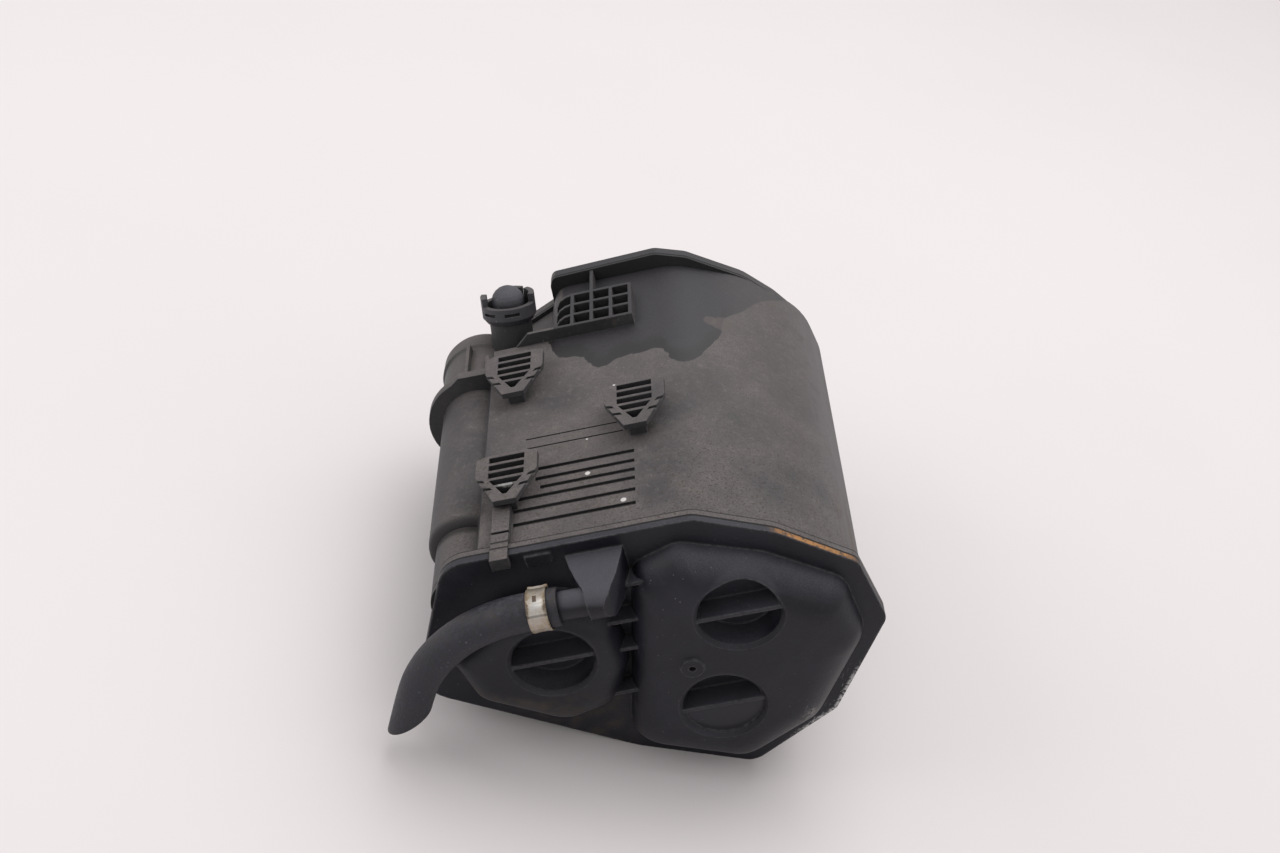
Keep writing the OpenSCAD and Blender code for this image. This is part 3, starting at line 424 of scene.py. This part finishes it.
def dust_marks(finish):
    """Clouds, specks and streaks in the tub's dust, a painted highlight on its right shoulder, a painted
    shadow at the tube's foot, soil and crumbs in front.
    """
    tint = colours()
    x, y, _ = finish.parts(finish.place)
    mottle = finish.noise(70.0, detail=6.0, rough=0.7)
    warped = finish.warped(45.0, 0.014)
    for centre, reach, strength in CLOUDS:
        spread = finish.near(centre, 0.15 * reach, reach, warped)
        cloud = finish.both(spread, finish.rise(mottle, 0.22, 0.60))
        finish.layer(cloud, TONES["cloud"], rough=0.58, share=strength)
    dark = finish.rise(finish.noise(330.0, detail=6.0, rough=0.75), 0.50, 0.66)
    finish.layer(dark, TONES["dark_speck"], rough=0.9, share=0.26)
    pale = finish.both(finish.rise(finish.noise(290.0, detail=6.0, rough=0.75), 0.52, 0.68),
                       finish.rise(finish.up, 0.3, 0.8))
    finish.layer(pale, TONES["pale_speck"], rough=0.9, share=0.22)
    # Painted highlight: the tub's right shoulder made paler towards its right edge, broken up by the mottling
    shoulder = finish.both(finish.rise(x, 0.064, 0.090), finish.rise(mottle, 0.25, 0.55))
    finish.layer(shoulder, TONES["shoulder"], rough=0.7, share=0.36)
    # Painted shadow: a dark band round the foot of the side tube, under its shoulder
    foot = finish.both(finish.rise(x, -0.078, -0.084), finish.window(y, -0.0775, -0.0738, 0.0036))
    finish.layer(foot, TONES["tube_foot_shadow"], rough=0.8, share=0.82)
    streaks = finish.noise(1.0, detail=5.0, rough=0.6, place=finish.stretched(120.0, 9.0, 120.0))
    right = finish.both(finish.rise(streaks, 0.5, 0.72), finish.rise(x, 0.02, 0.07))
    finish.layer(right, TONES["streak"], rough=0.55, share=0.25)
    corner = finish.both(finish.rise(x, 0.078, 0.092), finish.rise(y, -0.030, -0.075),
                         finish.rise(streaks, 0.42, 0.60))
    finish.layer(corner, tint.soil, rough=0.9, share=0.5)
    crumbs = finish.both(finish.rise(finish.noise(800.0, detail=3.0, rough=0.7), 0.54, 0.66),
                         finish.rise(finish.up, 0.5, 0.85), finish.rise(y, 0.03, -0.09))
    finish.layer(crumbs, tuple(0.5 * c for c in tint.soil), rough=0.92, height=0.0001, share=0.75)


def damp_marks(finish):
    """Damp patch where y lies behind a drawn edge over x, darkest along that edge, on faces that look up."""
    tint = colours()
    low_x, high_x, high_y = DAMP_EDGE[0][0], DAMP_EDGE[-1][0], 0.12
    wander = finish.span(finish.noise(130.0, detail=3.0), -0.0025, 0.0025)
    x, y, _ = finish.parts(finish.place)
    shifted = finish.math("SUBTRACT", finish.math("ADD", x, wander), low_x)
    curve = add(finish.tree, "FloatCurve", Value=finish.math("DIVIDE", shifted, high_x - low_x))
    points = curve.mapping.curves[0].points
    targets = [((px - low_x) / (high_x - low_x), py / high_y) for px, py in DAMP_EDGE]
    points[0].location, points[-1].location = targets[0], targets[-1]
    for target in targets[1:-1]:
        points.new(*target)
    curve.mapping.update()
    edge = finish.math("MULTIPLY", curve.outputs[0], high_y)
    behind = finish.math("SUBTRACT", finish.math("ADD", y, wander), edge)
    facing = finish.rise(finish.up, 0.55, 0.8)
    grain = finish.span(finish.rise(finish.noise(900.0, detail=3.0), 0.3, 0.7), 0.86, 0.98)
    drying = finish.span(finish.rise(x, 0.026, 0.054), 1.0, 0.6)
    wet = finish.both(finish.rise(behind, -0.0004, 0.0006), facing, grain, drying)
    finish.layer(wet, tint.damp, rough=0.46)
    rim = finish.both(finish.window(behind, 0.0004, 0.004, 0.012), finish.rise(behind, -0.0002, 0.0005))
    left = finish.rise(x, 0.046, 0.018)
    finish.layer(finish.both(rim, facing, left), TONES["damp_rim"], rough=0.42, share=0.85)
    warped = finish.warped(160.0, 0.0026)
    dry = tuple(0.62 * c for c in tint.dust)
    for centre, reach in DRY_PATCHES:
        patch = finish.both(finish.near(centre, 0.8 * reach, reach, warped), facing, grain)
        finish.layer(patch, dry, rough=0.86, share=0.8)


def seam_marks(finish):
    """Weld at the front: two dark lines, and broken orange soil before them on the right."""
    tint = colours()
    x, y, _ = finish.parts(finish.place)
    depth = finish.math("ADD", y, finish.span(finish.noise(70.0), -0.0004, 0.0004))
    for place in (SEAM_Y, SEAM_Y + SEAM_WIDTH):
        line = finish.window(depth, place - 0.0003, place + 0.0003, 0.0004)
        finish.layer(line, TONES["seam"], rough=0.7, height=-0.0005, share=0.9)
    band = finish.both(finish.window(x, 0.051, 0.080, 0.010), finish.rise(finish.up, 0.2, 0.5),
                       finish.window(depth, SEAM_Y - 0.0031, SEAM_Y - 0.0007, 0.0006))
    finish.layer(band, tint.soil, rough=0.9, share=0.5)
    broken = finish.rise(finish.noise(260.0, detail=5.0, rough=0.7), 0.36, 0.56)
    finish.layer(finish.both(band, broken), tint.rust, rough=0.9, height=0.0001)


def rear_marks(finish):
    """Weld at the rear: a dark line along the top of the lip, and painted shade on the lip's front face."""
    y = finish.parts(finish.place)[1]
    line = finish.both(finish.window(y, REAR_SEAM_Y - 0.0004, REAR_SEAM_Y + 0.0004, 0.0004),
                       finish.rise(finish.up, 0.1, 0.4))
    finish.layer(line, TONES["rear_seam"], rough=0.8, height=-0.0004, share=0.85)
    # Painted shade on the lip's front face, which faces forwards and lies in shade
    face = finish.both(finish.window(y, REAR_SEAM_Y - 0.0018, REAR_SEAM_Y - 0.0010, 0.0004),
                       finish.rise(finish.up, 0.35, 0.1))
    finish.layer(face, TONES["lip_face"], rough=0.7, share=0.7)


def housing_finish():
    """Dusty tub with the marks in its dust, its damp patch, both welds and dried drops."""
    finish = moulded("dusty_housing", colours().housing, 0.52, dust=0.80, soil=0.30)
    dust_marks(finish)
    damp_marks(finish)
    seam_marks(finish)
    rear_marks(finish)
    for centre, radius, tone in DROPS:
        drop = finish.near(centre, 0.7 * radius, radius)
        finish.layer(drop, (tone, 0.97 * tone, 0.955 * tone), rough=0.35, height=0.0002)
    return finish.close()


def soil_marks(finish):
    """Brown soil at the foot of the valley, soil with a painted floor reflection at the foot of the left dome,
    film on the hood, and a film in the pockets that is partly painted light.
    """
    tint = colours()
    x, y, z = finish.parts(finish.place)
    valley = finish.both(finish.near(VALLEY_FOOT, 0.012, 0.045),
                         finish.rise(finish.noise(120.0, detail=5.0), 0.42, 0.75))
    finish.layer(valley, TONES["valley"], rough=0.9, share=0.75)
    # Brown soil along the left dome's lower rim, lightened as a painted reflection of the floor
    foot = finish.both(finish.window(x, -0.070, -0.028, 0.010), finish.window(z, 0.031, 0.036, 0.005),
                       finish.rise(finish.noise(150.0, detail=5.0), 0.30, 0.65))
    finish.layer(foot, TONES["dome_foot_soil_and_reflection"], rough=0.85, share=0.34)
    hood = finish.both(finish.window(x, -0.043, -0.021, 0.003), finish.rise(y, -0.113, -0.115),
                       finish.window(z, 0.110, 0.128, 0.004), finish.rise(finish.up, 0.25, 0.6))
    finish.layer(hood, tint.film, rough=0.8, share=0.34)
    # Pale film in the pockets: partly dust, partly painted light that lifts the shaded pocket floors
    for centre in POCKETS:
        finish.layer(finish.near(centre, 0.0195, 0.0215), tint.film, rough=0.6, share=0.11)


def scuff_marks(finish):
    """Pale scuffs and scratches on the rim at the lower right, and on the dome's shoulder beside it.

    The distance from the rim is the least of the drawn edge lines, each of the form a + b x + c z.
    """
    x, y, z = finish.parts(finish.place)
    upper, lower = (finish.math("MULTIPLY_ADD", z, c, finish.math("MULTIPLY_ADD", x, b, a))
                    for a, b, c in RIM_LINES)
    rim = finish.rise(finish.math("MINIMUM", upper, lower), 0.0024, 0.0006)
    reach = finish.both(finish.near(SCUFFED_RIM, 0.016, 0.034),
                        finish.rise(y, SEAM_Y - 0.002, SEAM_Y - 0.003))
    broken = finish.rise(finish.noise(480.0, detail=5.0, rough=0.7), 0.42, 0.58)
    finish.layer(finish.both(rim, reach, broken), TONES["rim_scuff"], rough=0.7)
    lines = finish.noise(1.0, detail=4.0, rough=0.7, place=finish.stretched(700.0, 700.0, 220.0))
    finish.layer(finish.both(reach, finish.rise(lines, 0.58, 0.66)), TONES["scratch"], rough=0.7, share=0.5)
    knock = finish.near(KNOCKED_SHOULDER, 0.002, 0.008, finish.warped(220.0, 0.004))
    finish.layer(finish.both(knock, broken), TONES["knock"], rough=0.7, share=0.36)


def cover_finish():
    """Satin front cover: thin film of dust, brown soil in its hollows, scuffed rim at the lower right."""
    tint = colours()
    finish = moulded("satin_cover", tint.cover, 0.42, dust=0.46, film=tint.film, tilt=0.35, specks=0.6,
                     soil=0.05, edge=sizes().cover_edge)
    soil_marks(finish)
    scuff_marks(finish)
    seam_marks(finish)
    return finish.close(specular=0.30)


def cap_finish():
    """Dusty end cap with a darker neck."""
    finish = moulded("cap_moulding", colours().cap, 0.46, dust=0.90, soil=0.3)
    finish.layer(finish.near(NECK_MIDDLE, 0.011, 0.019), TONES["neck"], rough=0.6, share=0.66)
    return finish.close()


def hose_finish():
    """Black rubber: matt patches, faint wrap marks along it, film and soil on its upper side, pale crumbs."""
    tint = colours()
    finish = Finish("hose_rubber", tint.hose, 0.46, uv=True)
    wrap = finish.noise(1.0, detail=4.0, rough=0.6, place=finish.stretched(900.0, 260.0, 1.0))
    patch = finish.noise(90.0, detail=5.0, rough=0.6)
    mottle = finish.noise(420.0, detail=6.0, rough=0.75)
    fine = finish.noise(1600.0, detail=3.0, rough=0.6)
    finish.layer(finish.rise(patch, 0.35, 0.7), TONES["rubber_patch"], rough=0.60)
    up = finish.rise(finish.up, 0.1, 1.0)
    dusty = finish.both(up, finish.rise(mottle, 0.40, 0.64), finish.rise(patch, 0.2, 0.65))
    finish.layer(dusty, tint.film, rough=0.85, share=0.46)
    brown = finish.both(up, finish.rise(mottle, 0.60, 0.42), finish.rise(finish.noise(55.0), 0.46, 0.64))
    finish.layer(brown, tint.soil, rough=0.9, share=0.42)
    finish.layer(finish.rise(wrap, 0.50, 0.66), TONES["rubber_wrap"], rough=0.7, share=0.42)
    crumbs = finish.both(finish.rise(finish.cells(420.0), 0.18, 0.08), finish.rise(patch, 0.46, 0.62))
    finish.layer(crumbs, tint.scuff, rough=0.9, share=0.28)
    finish.relief(wrap, 0.00040)
    finish.relief(mottle, 0.00045)
    finish.relief(fine, 0.00012)
    return finish.close(specular=0.48)


def clamp_finish():
    """Plated band: brushed along its length, stained yellow and brown in patches and at its edges.

    It is browner on top and below its lap, whose end is a soft dark line. A brown slot lies on its upper
    front. The band's own map gives metres around it and across it.
    """
    tint = colours()
    width = sizes().clamp_width
    finish = Finish("zinc_band", tint.zinc, 0.36, metallic=0.85, uv=True)
    around, across, _ = finish.parts(finish.place)
    stain = finish.noise(170.0, detail=6.0, rough=0.7)
    middle = finish.math("ABSOLUTE", finish.math("SUBTRACT", across, width / 2))
    rim = finish.rise(middle, 0.22 * width, 0.52 * width)
    spread = finish.math("MULTIPLY_ADD", rim, 0.20, stain)
    finish.layer(finish.rise(spread, 0.44, 0.64), TONES["band_stain"], rough=0.5, share=0.6)
    finish.layer(finish.rise(spread, 0.60, 0.76), TONES["band_rust"], rough=0.75, share=0.85)
    ends = finish.math("MAXIMUM", finish.rise(around, 0.0515, 0.0558), finish.rise(around, 0.0474, 0.0454))
    finish.layer(finish.both(ends, finish.span(stain, 0.15, 1.05)), TONES["band_ends"], rough=0.55)
    lap = finish.window(around, 0.0468, 0.0471, 0.0007)
    finish.layer(lap, TONES["band_lap"], rough=0.7, height=-0.0002, share=0.6)
    slot = finish.both(finish.window(around, 0.0532, 0.0558, 0.0003),
                       finish.window(across, 0.46 * width, 0.62 * width, 0.0003))
    finish.layer(slot, TONES["band_slot"], rough=0.8, height=-0.0004, share=0.85)
    brushed = finish.noise(1.0, detail=4.0, rough=0.6, place=finish.stretched(120.0, 5200.0, 1.0))
    finish.relief(brushed, 0.00003)
    return finish.close()


def plain_finish(name, base, rough, blob, relief, metallic=0.0):
    """Hidden filling: two tones of one colour in blobs of a given scale, with their relief."""
    finish = Finish(name, base, rough, metallic)
    spots = finish.cells(blob)
    cloud = finish.noise(blob * 0.4)
    darker = tuple(0.62 * c for c in base)
    lighter = tuple(min(1.0, 1.3 * c) for c in base)
    finish.layer(finish.rise(spots, 0.15, 0.6), darker, rough=min(1.0, rough + 0.1))
    finish.layer(finish.rise(cloud, 0.4, 0.7), lighter, share=0.5)
    finish.relief(spots, relief)
    return finish.close()


# Shape building


def dress(piece, slot, material, *nodes):
    """Puts a piece on the canister: its material, its body and the nodes it stands for; the slot is not used.
    """
    piece.data.materials.clear()
    piece.data.materials.append(material)
    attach(piece, "root")
    if nodes:
        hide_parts(*nodes)


def put(name, mesh):
    """Links a mesh into the scene as an object at the origin."""
    piece = bpy.data.objects.new(name, mesh)
    bpy.context.scene.collection.objects.link(piece)
    return piece


def grid_piece(name, points, uv=None, round_rows=False, round_columns=True):
    """Quad surface over a grid of points: rows by columns, closed in either direction where asked.

    points is an array of rows, columns and 3. Quad (i, j) joins the grid points (i, j), (i, j+1), (i+1, j+1)
    and (i+1, j). uv gives each grid row's and column's own value, with one more entry where the grid closes.
    """
    rows, columns = points.shape[:2]
    first_rows = np.arange(rows - (not round_rows))
    first_columns = np.arange(columns - (not round_columns))
    i, j = (index.ravel() for index in np.meshgrid(first_rows, first_columns, indexing="ij"))
    up, along = (i + 1) % rows, (j + 1) % columns
    quads = np.stack([i * columns + j, i * columns + along, up * columns + along, up * columns + j], axis=1)
    mesh = bpy.data.meshes.new(name)
    mesh.vertices.add(rows * columns)
    mesh.vertices.foreach_set("co", points.reshape(-1).astype(np.float32))
    mesh.loops.add(quads.size)
    mesh.loops.foreach_set("vertex_index", quads.reshape(-1).astype(np.int32))
    mesh.polygons.add(len(quads))
    mesh.polygons.foreach_set("loop_start", (4 * np.arange(len(quads))).astype(np.int32))
    mesh.polygons.foreach_set("use_smooth", np.ones(len(quads), bool))
    if uv is not None:
        row_value, column_value = uv
        corners_v = np.stack([row_value[i], row_value[i], row_value[i + 1], row_value[i + 1]], axis=1)
        corners_u = np.stack([column_value[j], column_value[j + 1], column_value[j + 1], column_value[j]],
                             axis=1)
        corners = np.stack([corners_u, corners_v], axis=2)
        layer = mesh.uv_layers.new(name="surface")
        layer.data.foreach_set("uv", corners.reshape(-1).astype(np.float32))
    mesh.update(calc_edges=True)
    mesh.validate()
    return put(name, mesh)


def smooth_path(points, count):
    """Natural cubic curve through the points by chord length: its bends are solved at once, then sampled."""
    knots = np.concatenate([[0.0], np.cumsum(np.linalg.norm(np.diff(points, axis=0), axis=1))])
    step = np.diff(knots)
    slope = np.diff(points, axis=0) / step[:, None]
    size = len(points)
    system = np.eye(size)
    inner = np.arange(1, size - 1)
    system[inner, inner - 1] = step[:-1]
    system[inner, inner] = 2 * (step[:-1] + step[1:])
    system[inner, inner + 1] = step[1:]
    right = np.zeros_like(points)
    right[1:-1] = 6 * np.diff(slope, axis=0)
    bend = np.linalg.solve(system, right)
    s = np.linspace(0, knots[-1], count)
    k = np.clip(np.searchsorted(knots, s, side="right") - 1, 0, size - 2)
    t, h = (s - knots[k])[:, None], step[k][:, None]
    return (points[k] + t * (slope[k] - h * (2 * bend[k] + bend[k + 1]) / 6) + t * t * bend[k] / 2
            + t ** 3 * (bend[k + 1] - bend[k]) / (6 * h))


def along(path):
    """Directions along a path and across it in its plane, with the lengths from its start."""
    ahead = np.gradient(path, axis=0)
    ahead /= np.linalg.norm(ahead, axis=1)[:, None]
    across = np.stack([-ahead[:, 1], ahead[:, 0]], axis=1)
    run = np.concatenate([[0.0], np.cumsum(np.linalg.norm(np.diff(path, axis=0), axis=1))])
    return ahead, across, run


def merged_copy(node, name, crease=None):
    """Copy of a node's mesh with its loose triangles joined, smooth but for edges above the crease angle."""
    mesh = bpy.data.meshes.new(name)
    shape = bmesh.new()
    shape.from_mesh(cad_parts[node].data)
    bmesh.ops.remove_doubles(shape, verts=shape.verts, dist=JOIN_GAP)
    bmesh.ops.dissolve_degenerate(shape, edges=shape.edges, dist=SLIVER)
    shape.to_mesh(mesh)
    shape.free()
    if "custom_normal" in mesh.attributes:
        mesh.attributes.remove(mesh.attributes["custom_normal"])
    mesh.polygons.foreach_set("use_smooth", np.ones(len(mesh.polygons), bool))
    mesh.set_sharp_from_angle(angle=crease or sizes().crease)
    piece = put(name, mesh)
    even = piece.modifiers.new("even_shading", "WEIGHTED_NORMAL")
    even.weight = 100
    even.keep_sharp = True
    return piece


class CANISTER_OT_stage(Operator):
    """Camera at the picture's angle, pale floor and soft studio light"""

    bl_idname = "canister.stage"
    bl_label = "Stage"

    def execute(self, context):
        stage = context.scene.canister_stage
        right, up = Vector(stage.camera_right).normalized(), Vector(stage.camera_up).normalized()
        back = right.cross(up).normalized()
        up = back.cross(right)
        camera = bpy.data.objects.new("camera", bpy.data.cameras.new("camera"))
        camera.data.sensor_fit = "HORIZONTAL"
        camera.data.sensor_width = SENSOR_WIDTH
        camera.data.lens = stage.lens
        camera.data.clip_start = 0.01
        place = Matrix((right, up, back)).transposed().to_4x4()
        place.translation = stage.camera_place
        camera.matrix_world = place
        context.scene.collection.objects.link(camera)
        context.scene.camera = camera
        self.floor(stage)
        self.lamp(context, "overhead_light", stage.key, *KEY_LIGHT)
        self.lamp(context, "left_light", stage.side, *SIDE_LIGHT)
        world = bpy.data.worlds.new("even_light")
        world.use_nodes = True
        sky = world.node_tree.nodes["Background"]
        sky.inputs["Color"].default_value = SKY_TINT
        sky.inputs["Strength"].default_value = stage.sky
        context.scene.world = world
        context.scene.view_settings.view_transform = "Standard"
        return {"FINISHED"}

    def floor(self, stage):
        """Flat grid at height 0, under the canister, in a pale matt finish."""
        line = np.linspace(-stage.floor_size, stage.floor_size, 9)
        x, y = np.meshgrid(line, line, indexing="xy")
        floor = grid_piece("floor", np.stack([x, y, np.zeros_like(x)], axis=2), round_columns=False)
        finish = Finish("pale_floor", stage.floor, 0.75)
        darker = tuple(0.93 * c for c in stage.floor)
        finish.layer(finish.rise(finish.noise(3.0), 0.35, 0.75), darker, rough=0.8, share=0.25)
        floor.data.materials.append(finish.close(specular=0.2))

    def lamp(self, context, name, power, size, place):
        """Square soft light at a place, turned to the canister."""
        lamp = bpy.data.lights.new(name, "AREA")
        lamp.energy = power
        lamp.size = size
        made = bpy.data.objects.new(name, lamp)
        made.location = place
        made.rotation_euler = (Vector(LIGHT_TARGET) - Vector(place)).to_track_quat("-Z", "Y").to_euler()
        context.scene.collection.objects.link(made)


class CANISTER_OT_hose(Operator):
    """Short rubber hose on the spigot, cut at a slant at its free end"""

    bl_idname = "canister.hose"
    bl_label = "Hose"

    def execute(self, context):
        sized = sizes()
        path = smooth_path(HOSE_ROUTE, sized.rings)
        points, run = self.surface(path, sized)
        turn = np.linspace(0, math.pi * sized.hose_diameter, sized.sides + 1)
        bore_rows = run[::-1] + run[-1] + PATTERN_GAP
        rows = np.concatenate([run, bore_rows, [2 * (run[-1] + PATTERN_GAP)]])
        hose = grid_piece("hose_tube", points, (rows, turn), round_rows=True)
        dress(hose, "hose_rubber", hose_finish(), "hose")
        return {"FINISHED"}

    def surface(self, path, sized):
        """Circle carried along the path, outside to the free end and back along the bore.

        The point at angle a of a ring is path + r cos(a) across + r sin(a) depth. Over the last stretch of
        the route each point moves back along the path by the cut's slope times its own distance across.
        """
        ahead, across, run = along(path)
        angle = 2 * math.pi * np.arange(sized.sides) / sized.sides
        gap = np.linalg.norm(HOSE_ROUTE[-1] - HOSE_ROUTE[-2])
        slant = np.clip((run - run[-1] + gap) / gap, 0, 1)[:, None] * sized.hose_cut

        def shell(radius):
            side = radius * np.cos(angle)[None, :]
            flat = (path[:, None] + side[..., None] * across[:, None]
                    - (side * slant)[..., None] * ahead[:, None])
            depth = np.broadcast_to(HOSE_Y + radius * np.sin(angle), flat.shape[:2])
            return np.stack([flat[..., 0], depth, flat[..., 1]], axis=2)

        outside, bore = shell(sized.hose_diameter / 2), shell(sized.hose_bore / 2)
        return np.concatenate([outside, bore[::-1]]), run


class CANISTER_OT_clamp(Operator):
    """Plated band clamp round the hose, with rolled edges and an overlapped end"""

    bl_idname = "canister.clamp"
    bl_label = "Band clamp"

    def execute(self, context):
        sized = sizes()
        inner = sized.hose_diameter / 2 + CLAMP_GAP
        thickness = sized.clamp_thickness
        across, level = BAND_ACROSS * sized.clamp_width, BAND_LEVEL * thickness
        turns = 2 * math.pi * np.arange(sized.sides * 2) / (sized.sides * 2)
        raised = thickness * (self.bump(turns, *BAND_LAP) + self.bump(turns, *BAND_EAR))
        outside = level > 0.5 * thickness
        radius = inner + level[None, :] + outside[None, :] * raised[:, None]
        points = self.ring(sized, turns, radius, across)
        loop = np.append(turns, 2 * math.pi) * inner
        lengths = np.append(across[::-1], across[0])
        band = grid_piece("clamp_band", points[:, ::-1], (loop, lengths), round_rows=True)
        layer = band.data.uv_layers[0].data
        values = np.empty(2 * len(layer), np.float32)
        layer.foreach_get("uv", values)
        layer.foreach_set("uv", values.reshape(-1, 2)[:, ::-1].reshape(-1))
        band.data.set_sharp_from_angle(angle=BAND_CREASE)
        dress(band, "clamp_steel", clamp_finish(), "hose_clamp")
        return {"FINISHED"}

    def bump(self, turns, rise, low, high, soft):
        """The given rise between two angles, with cosine flanks of the width soft."""
        share = np.clip((turns - low) / soft, 0, 1) * np.clip((high - turns) / soft, 0, 1)
        return rise * (0.5 - 0.5 * np.cos(math.pi * share))

    def ring(self, sized, turns, radius, across):
        """Band profile carried round the spigot's axis: start + s ahead + radius (cos a up + sin a back)."""
        ahead = HOSE_ROUTE[1] - HOSE_ROUTE[0]
        ahead = ahead / np.linalg.norm(ahead)
        lifted = np.array([ahead[1], -ahead[0]])
        s = sized.clamp_start + across[None, :]
        up = radius * np.cos(turns)[:, None]
        back = radius * np.sin(turns)[:, None]
        x = HOSE_ROUTE[0, 0] + s * ahead[0] + up * lifted[0]
        z = HOSE_ROUTE[0, 1] + s * ahead[1] + up * lifted[1]
        return np.stack([x, HOSE_Y + back, z], axis=2)


class CANISTER_OT_housing(Operator):
    """Tub, covers and end cap with soft edges and their used finishes"""

    bl_idname = "canister.housing"
    bl_label = "Housing"

    def execute(self, context):
        housing, cover = housing_finish(), cover_finish()
        dress(merged_copy("canister_body", "tub"), "housing_plastic", housing, "canister_body")
        dress(merged_copy("rear_cover", "rear_lid"), "cover_plastic", housing, "rear_cover")
        front = merged_copy("front_cover", "front_lid", sizes().cover_crease)
        dress(front, "cover_plastic", cover, "front_cover")
        dress(merged_copy("side_cap", "tube_cap"), "cap_plastic", cap_finish(), "side_cap")
        return {"FINISHED"}


class CANISTER_OT_connector(Operator):
    """Collar and domed plug on the leaning neck"""

    bl_idname = "canister.connector"
    bl_label = "Connector"

    def execute(self, context):
        tint = colours()
        collar = moulded("collar_moulding", tint.plug, 0.5, dust=0.45, specks=1.2, soil=0.2).close()
        plug = moulded("plug_moulding", tint.plug, 0.44, dust=0.9, film=tint.film).close()
        dress(merged_copy("connector_collar", "collar"), "plug_plastic", collar, "connector_collar")
        dress(merged_copy("connector_plug", "plug"), "plug_plastic", plug, "connector_plug")
        return {"FINISHED"}


class CANISTER_OT_filling(Operator):
    """Finishes of the pieces inside: springs, plates, fleeces, charcoal, filter and seal"""

    bl_idname = "canister.filling"
    bl_label = "Filling"

    def execute(self, context):
        tint = colours()
        steel = plain_finish("spring_wire", tint.steel, 0.32, blob=900.0, relief=0.00002, metallic=1.0)
        plate = plain_finish("plate_moulding", tint.fleece, 0.5, blob=500.0, relief=0.00003)
        fleece = plain_finish("fleece_felt", tint.fleece, 0.95, blob=1400.0, relief=0.0003)
        charcoal = plain_finish("charcoal_grains", tint.charcoal, 0.7, blob=480.0, relief=0.0012)
        seal = plain_finish("seal_ring", tint.charcoal, 0.5, blob=1200.0, relief=0.00002)
        finishes = {"spring": steel, "plate": plate, "grid": plate, "fleece": fleece, "bed": charcoal,
                    "filter": fleece, "ring": seal}
        for name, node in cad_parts.items():
            kind = name.split("_")[-1]
            if kind in finishes and not node.hide_render:
                node.data.materials.clear()
                node.data.materials.append(finishes[kind])
        return {"FINISHED"}


class CANISTER_PT_panel(Panel):
    """Settings of the canister and one button for each of its groups of pieces"""

    bl_label = "Canister"
    bl_idname = "CANISTER_PT_panel"
    bl_space_type = "VIEW_3D"
    bl_region_type = "UI"
    bl_category = "Canister"

    def draw(self, context):
        for group in (sizes(), colours(), context.scene.canister_stage):
            box = self.layout.box()
            for name in group.__annotations__:
                box.prop(group, name)
        for operator in OPERATORS:
            self.layout.operator(operator.bl_idname)


GROUPS = (CanisterSizes, CanisterColours, CanisterStage)
OPERATORS = (CANISTER_OT_stage, CANISTER_OT_hose, CANISTER_OT_clamp, CANISTER_OT_housing,
             CANISTER_OT_connector, CANISTER_OT_filling)


def register():
    """Registers the classes and hangs the settings on the scene."""
    for made in (*GROUPS, *OPERATORS, CANISTER_PT_panel):
        bpy.utils.register_class(made)
    bpy.types.Scene.canister_sizes = PointerProperty(type=CanisterSizes)
    bpy.types.Scene.canister_colours = PointerProperty(type=CanisterColours)
    bpy.types.Scene.canister_stage = PointerProperty(type=CanisterStage)


def unregister():
    """Takes the settings and the classes away again."""
    del bpy.types.Scene.canister_stage
    del bpy.types.Scene.canister_colours
    del bpy.types.Scene.canister_sizes
    for made in reversed((*GROUPS, *OPERATORS, CANISTER_PT_panel)):
        bpy.utils.unregister_class(made)


def main():
    """Builds the canister piece by piece."""
    register()
    bpy.ops.canister.stage()
    bpy.ops.canister.hose()
    bpy.ops.canister.clamp()
    bpy.ops.canister.housing()
    bpy.ops.canister.connector()
    bpy.ops.canister.filling()


if __name__ == "__main__":
    main()
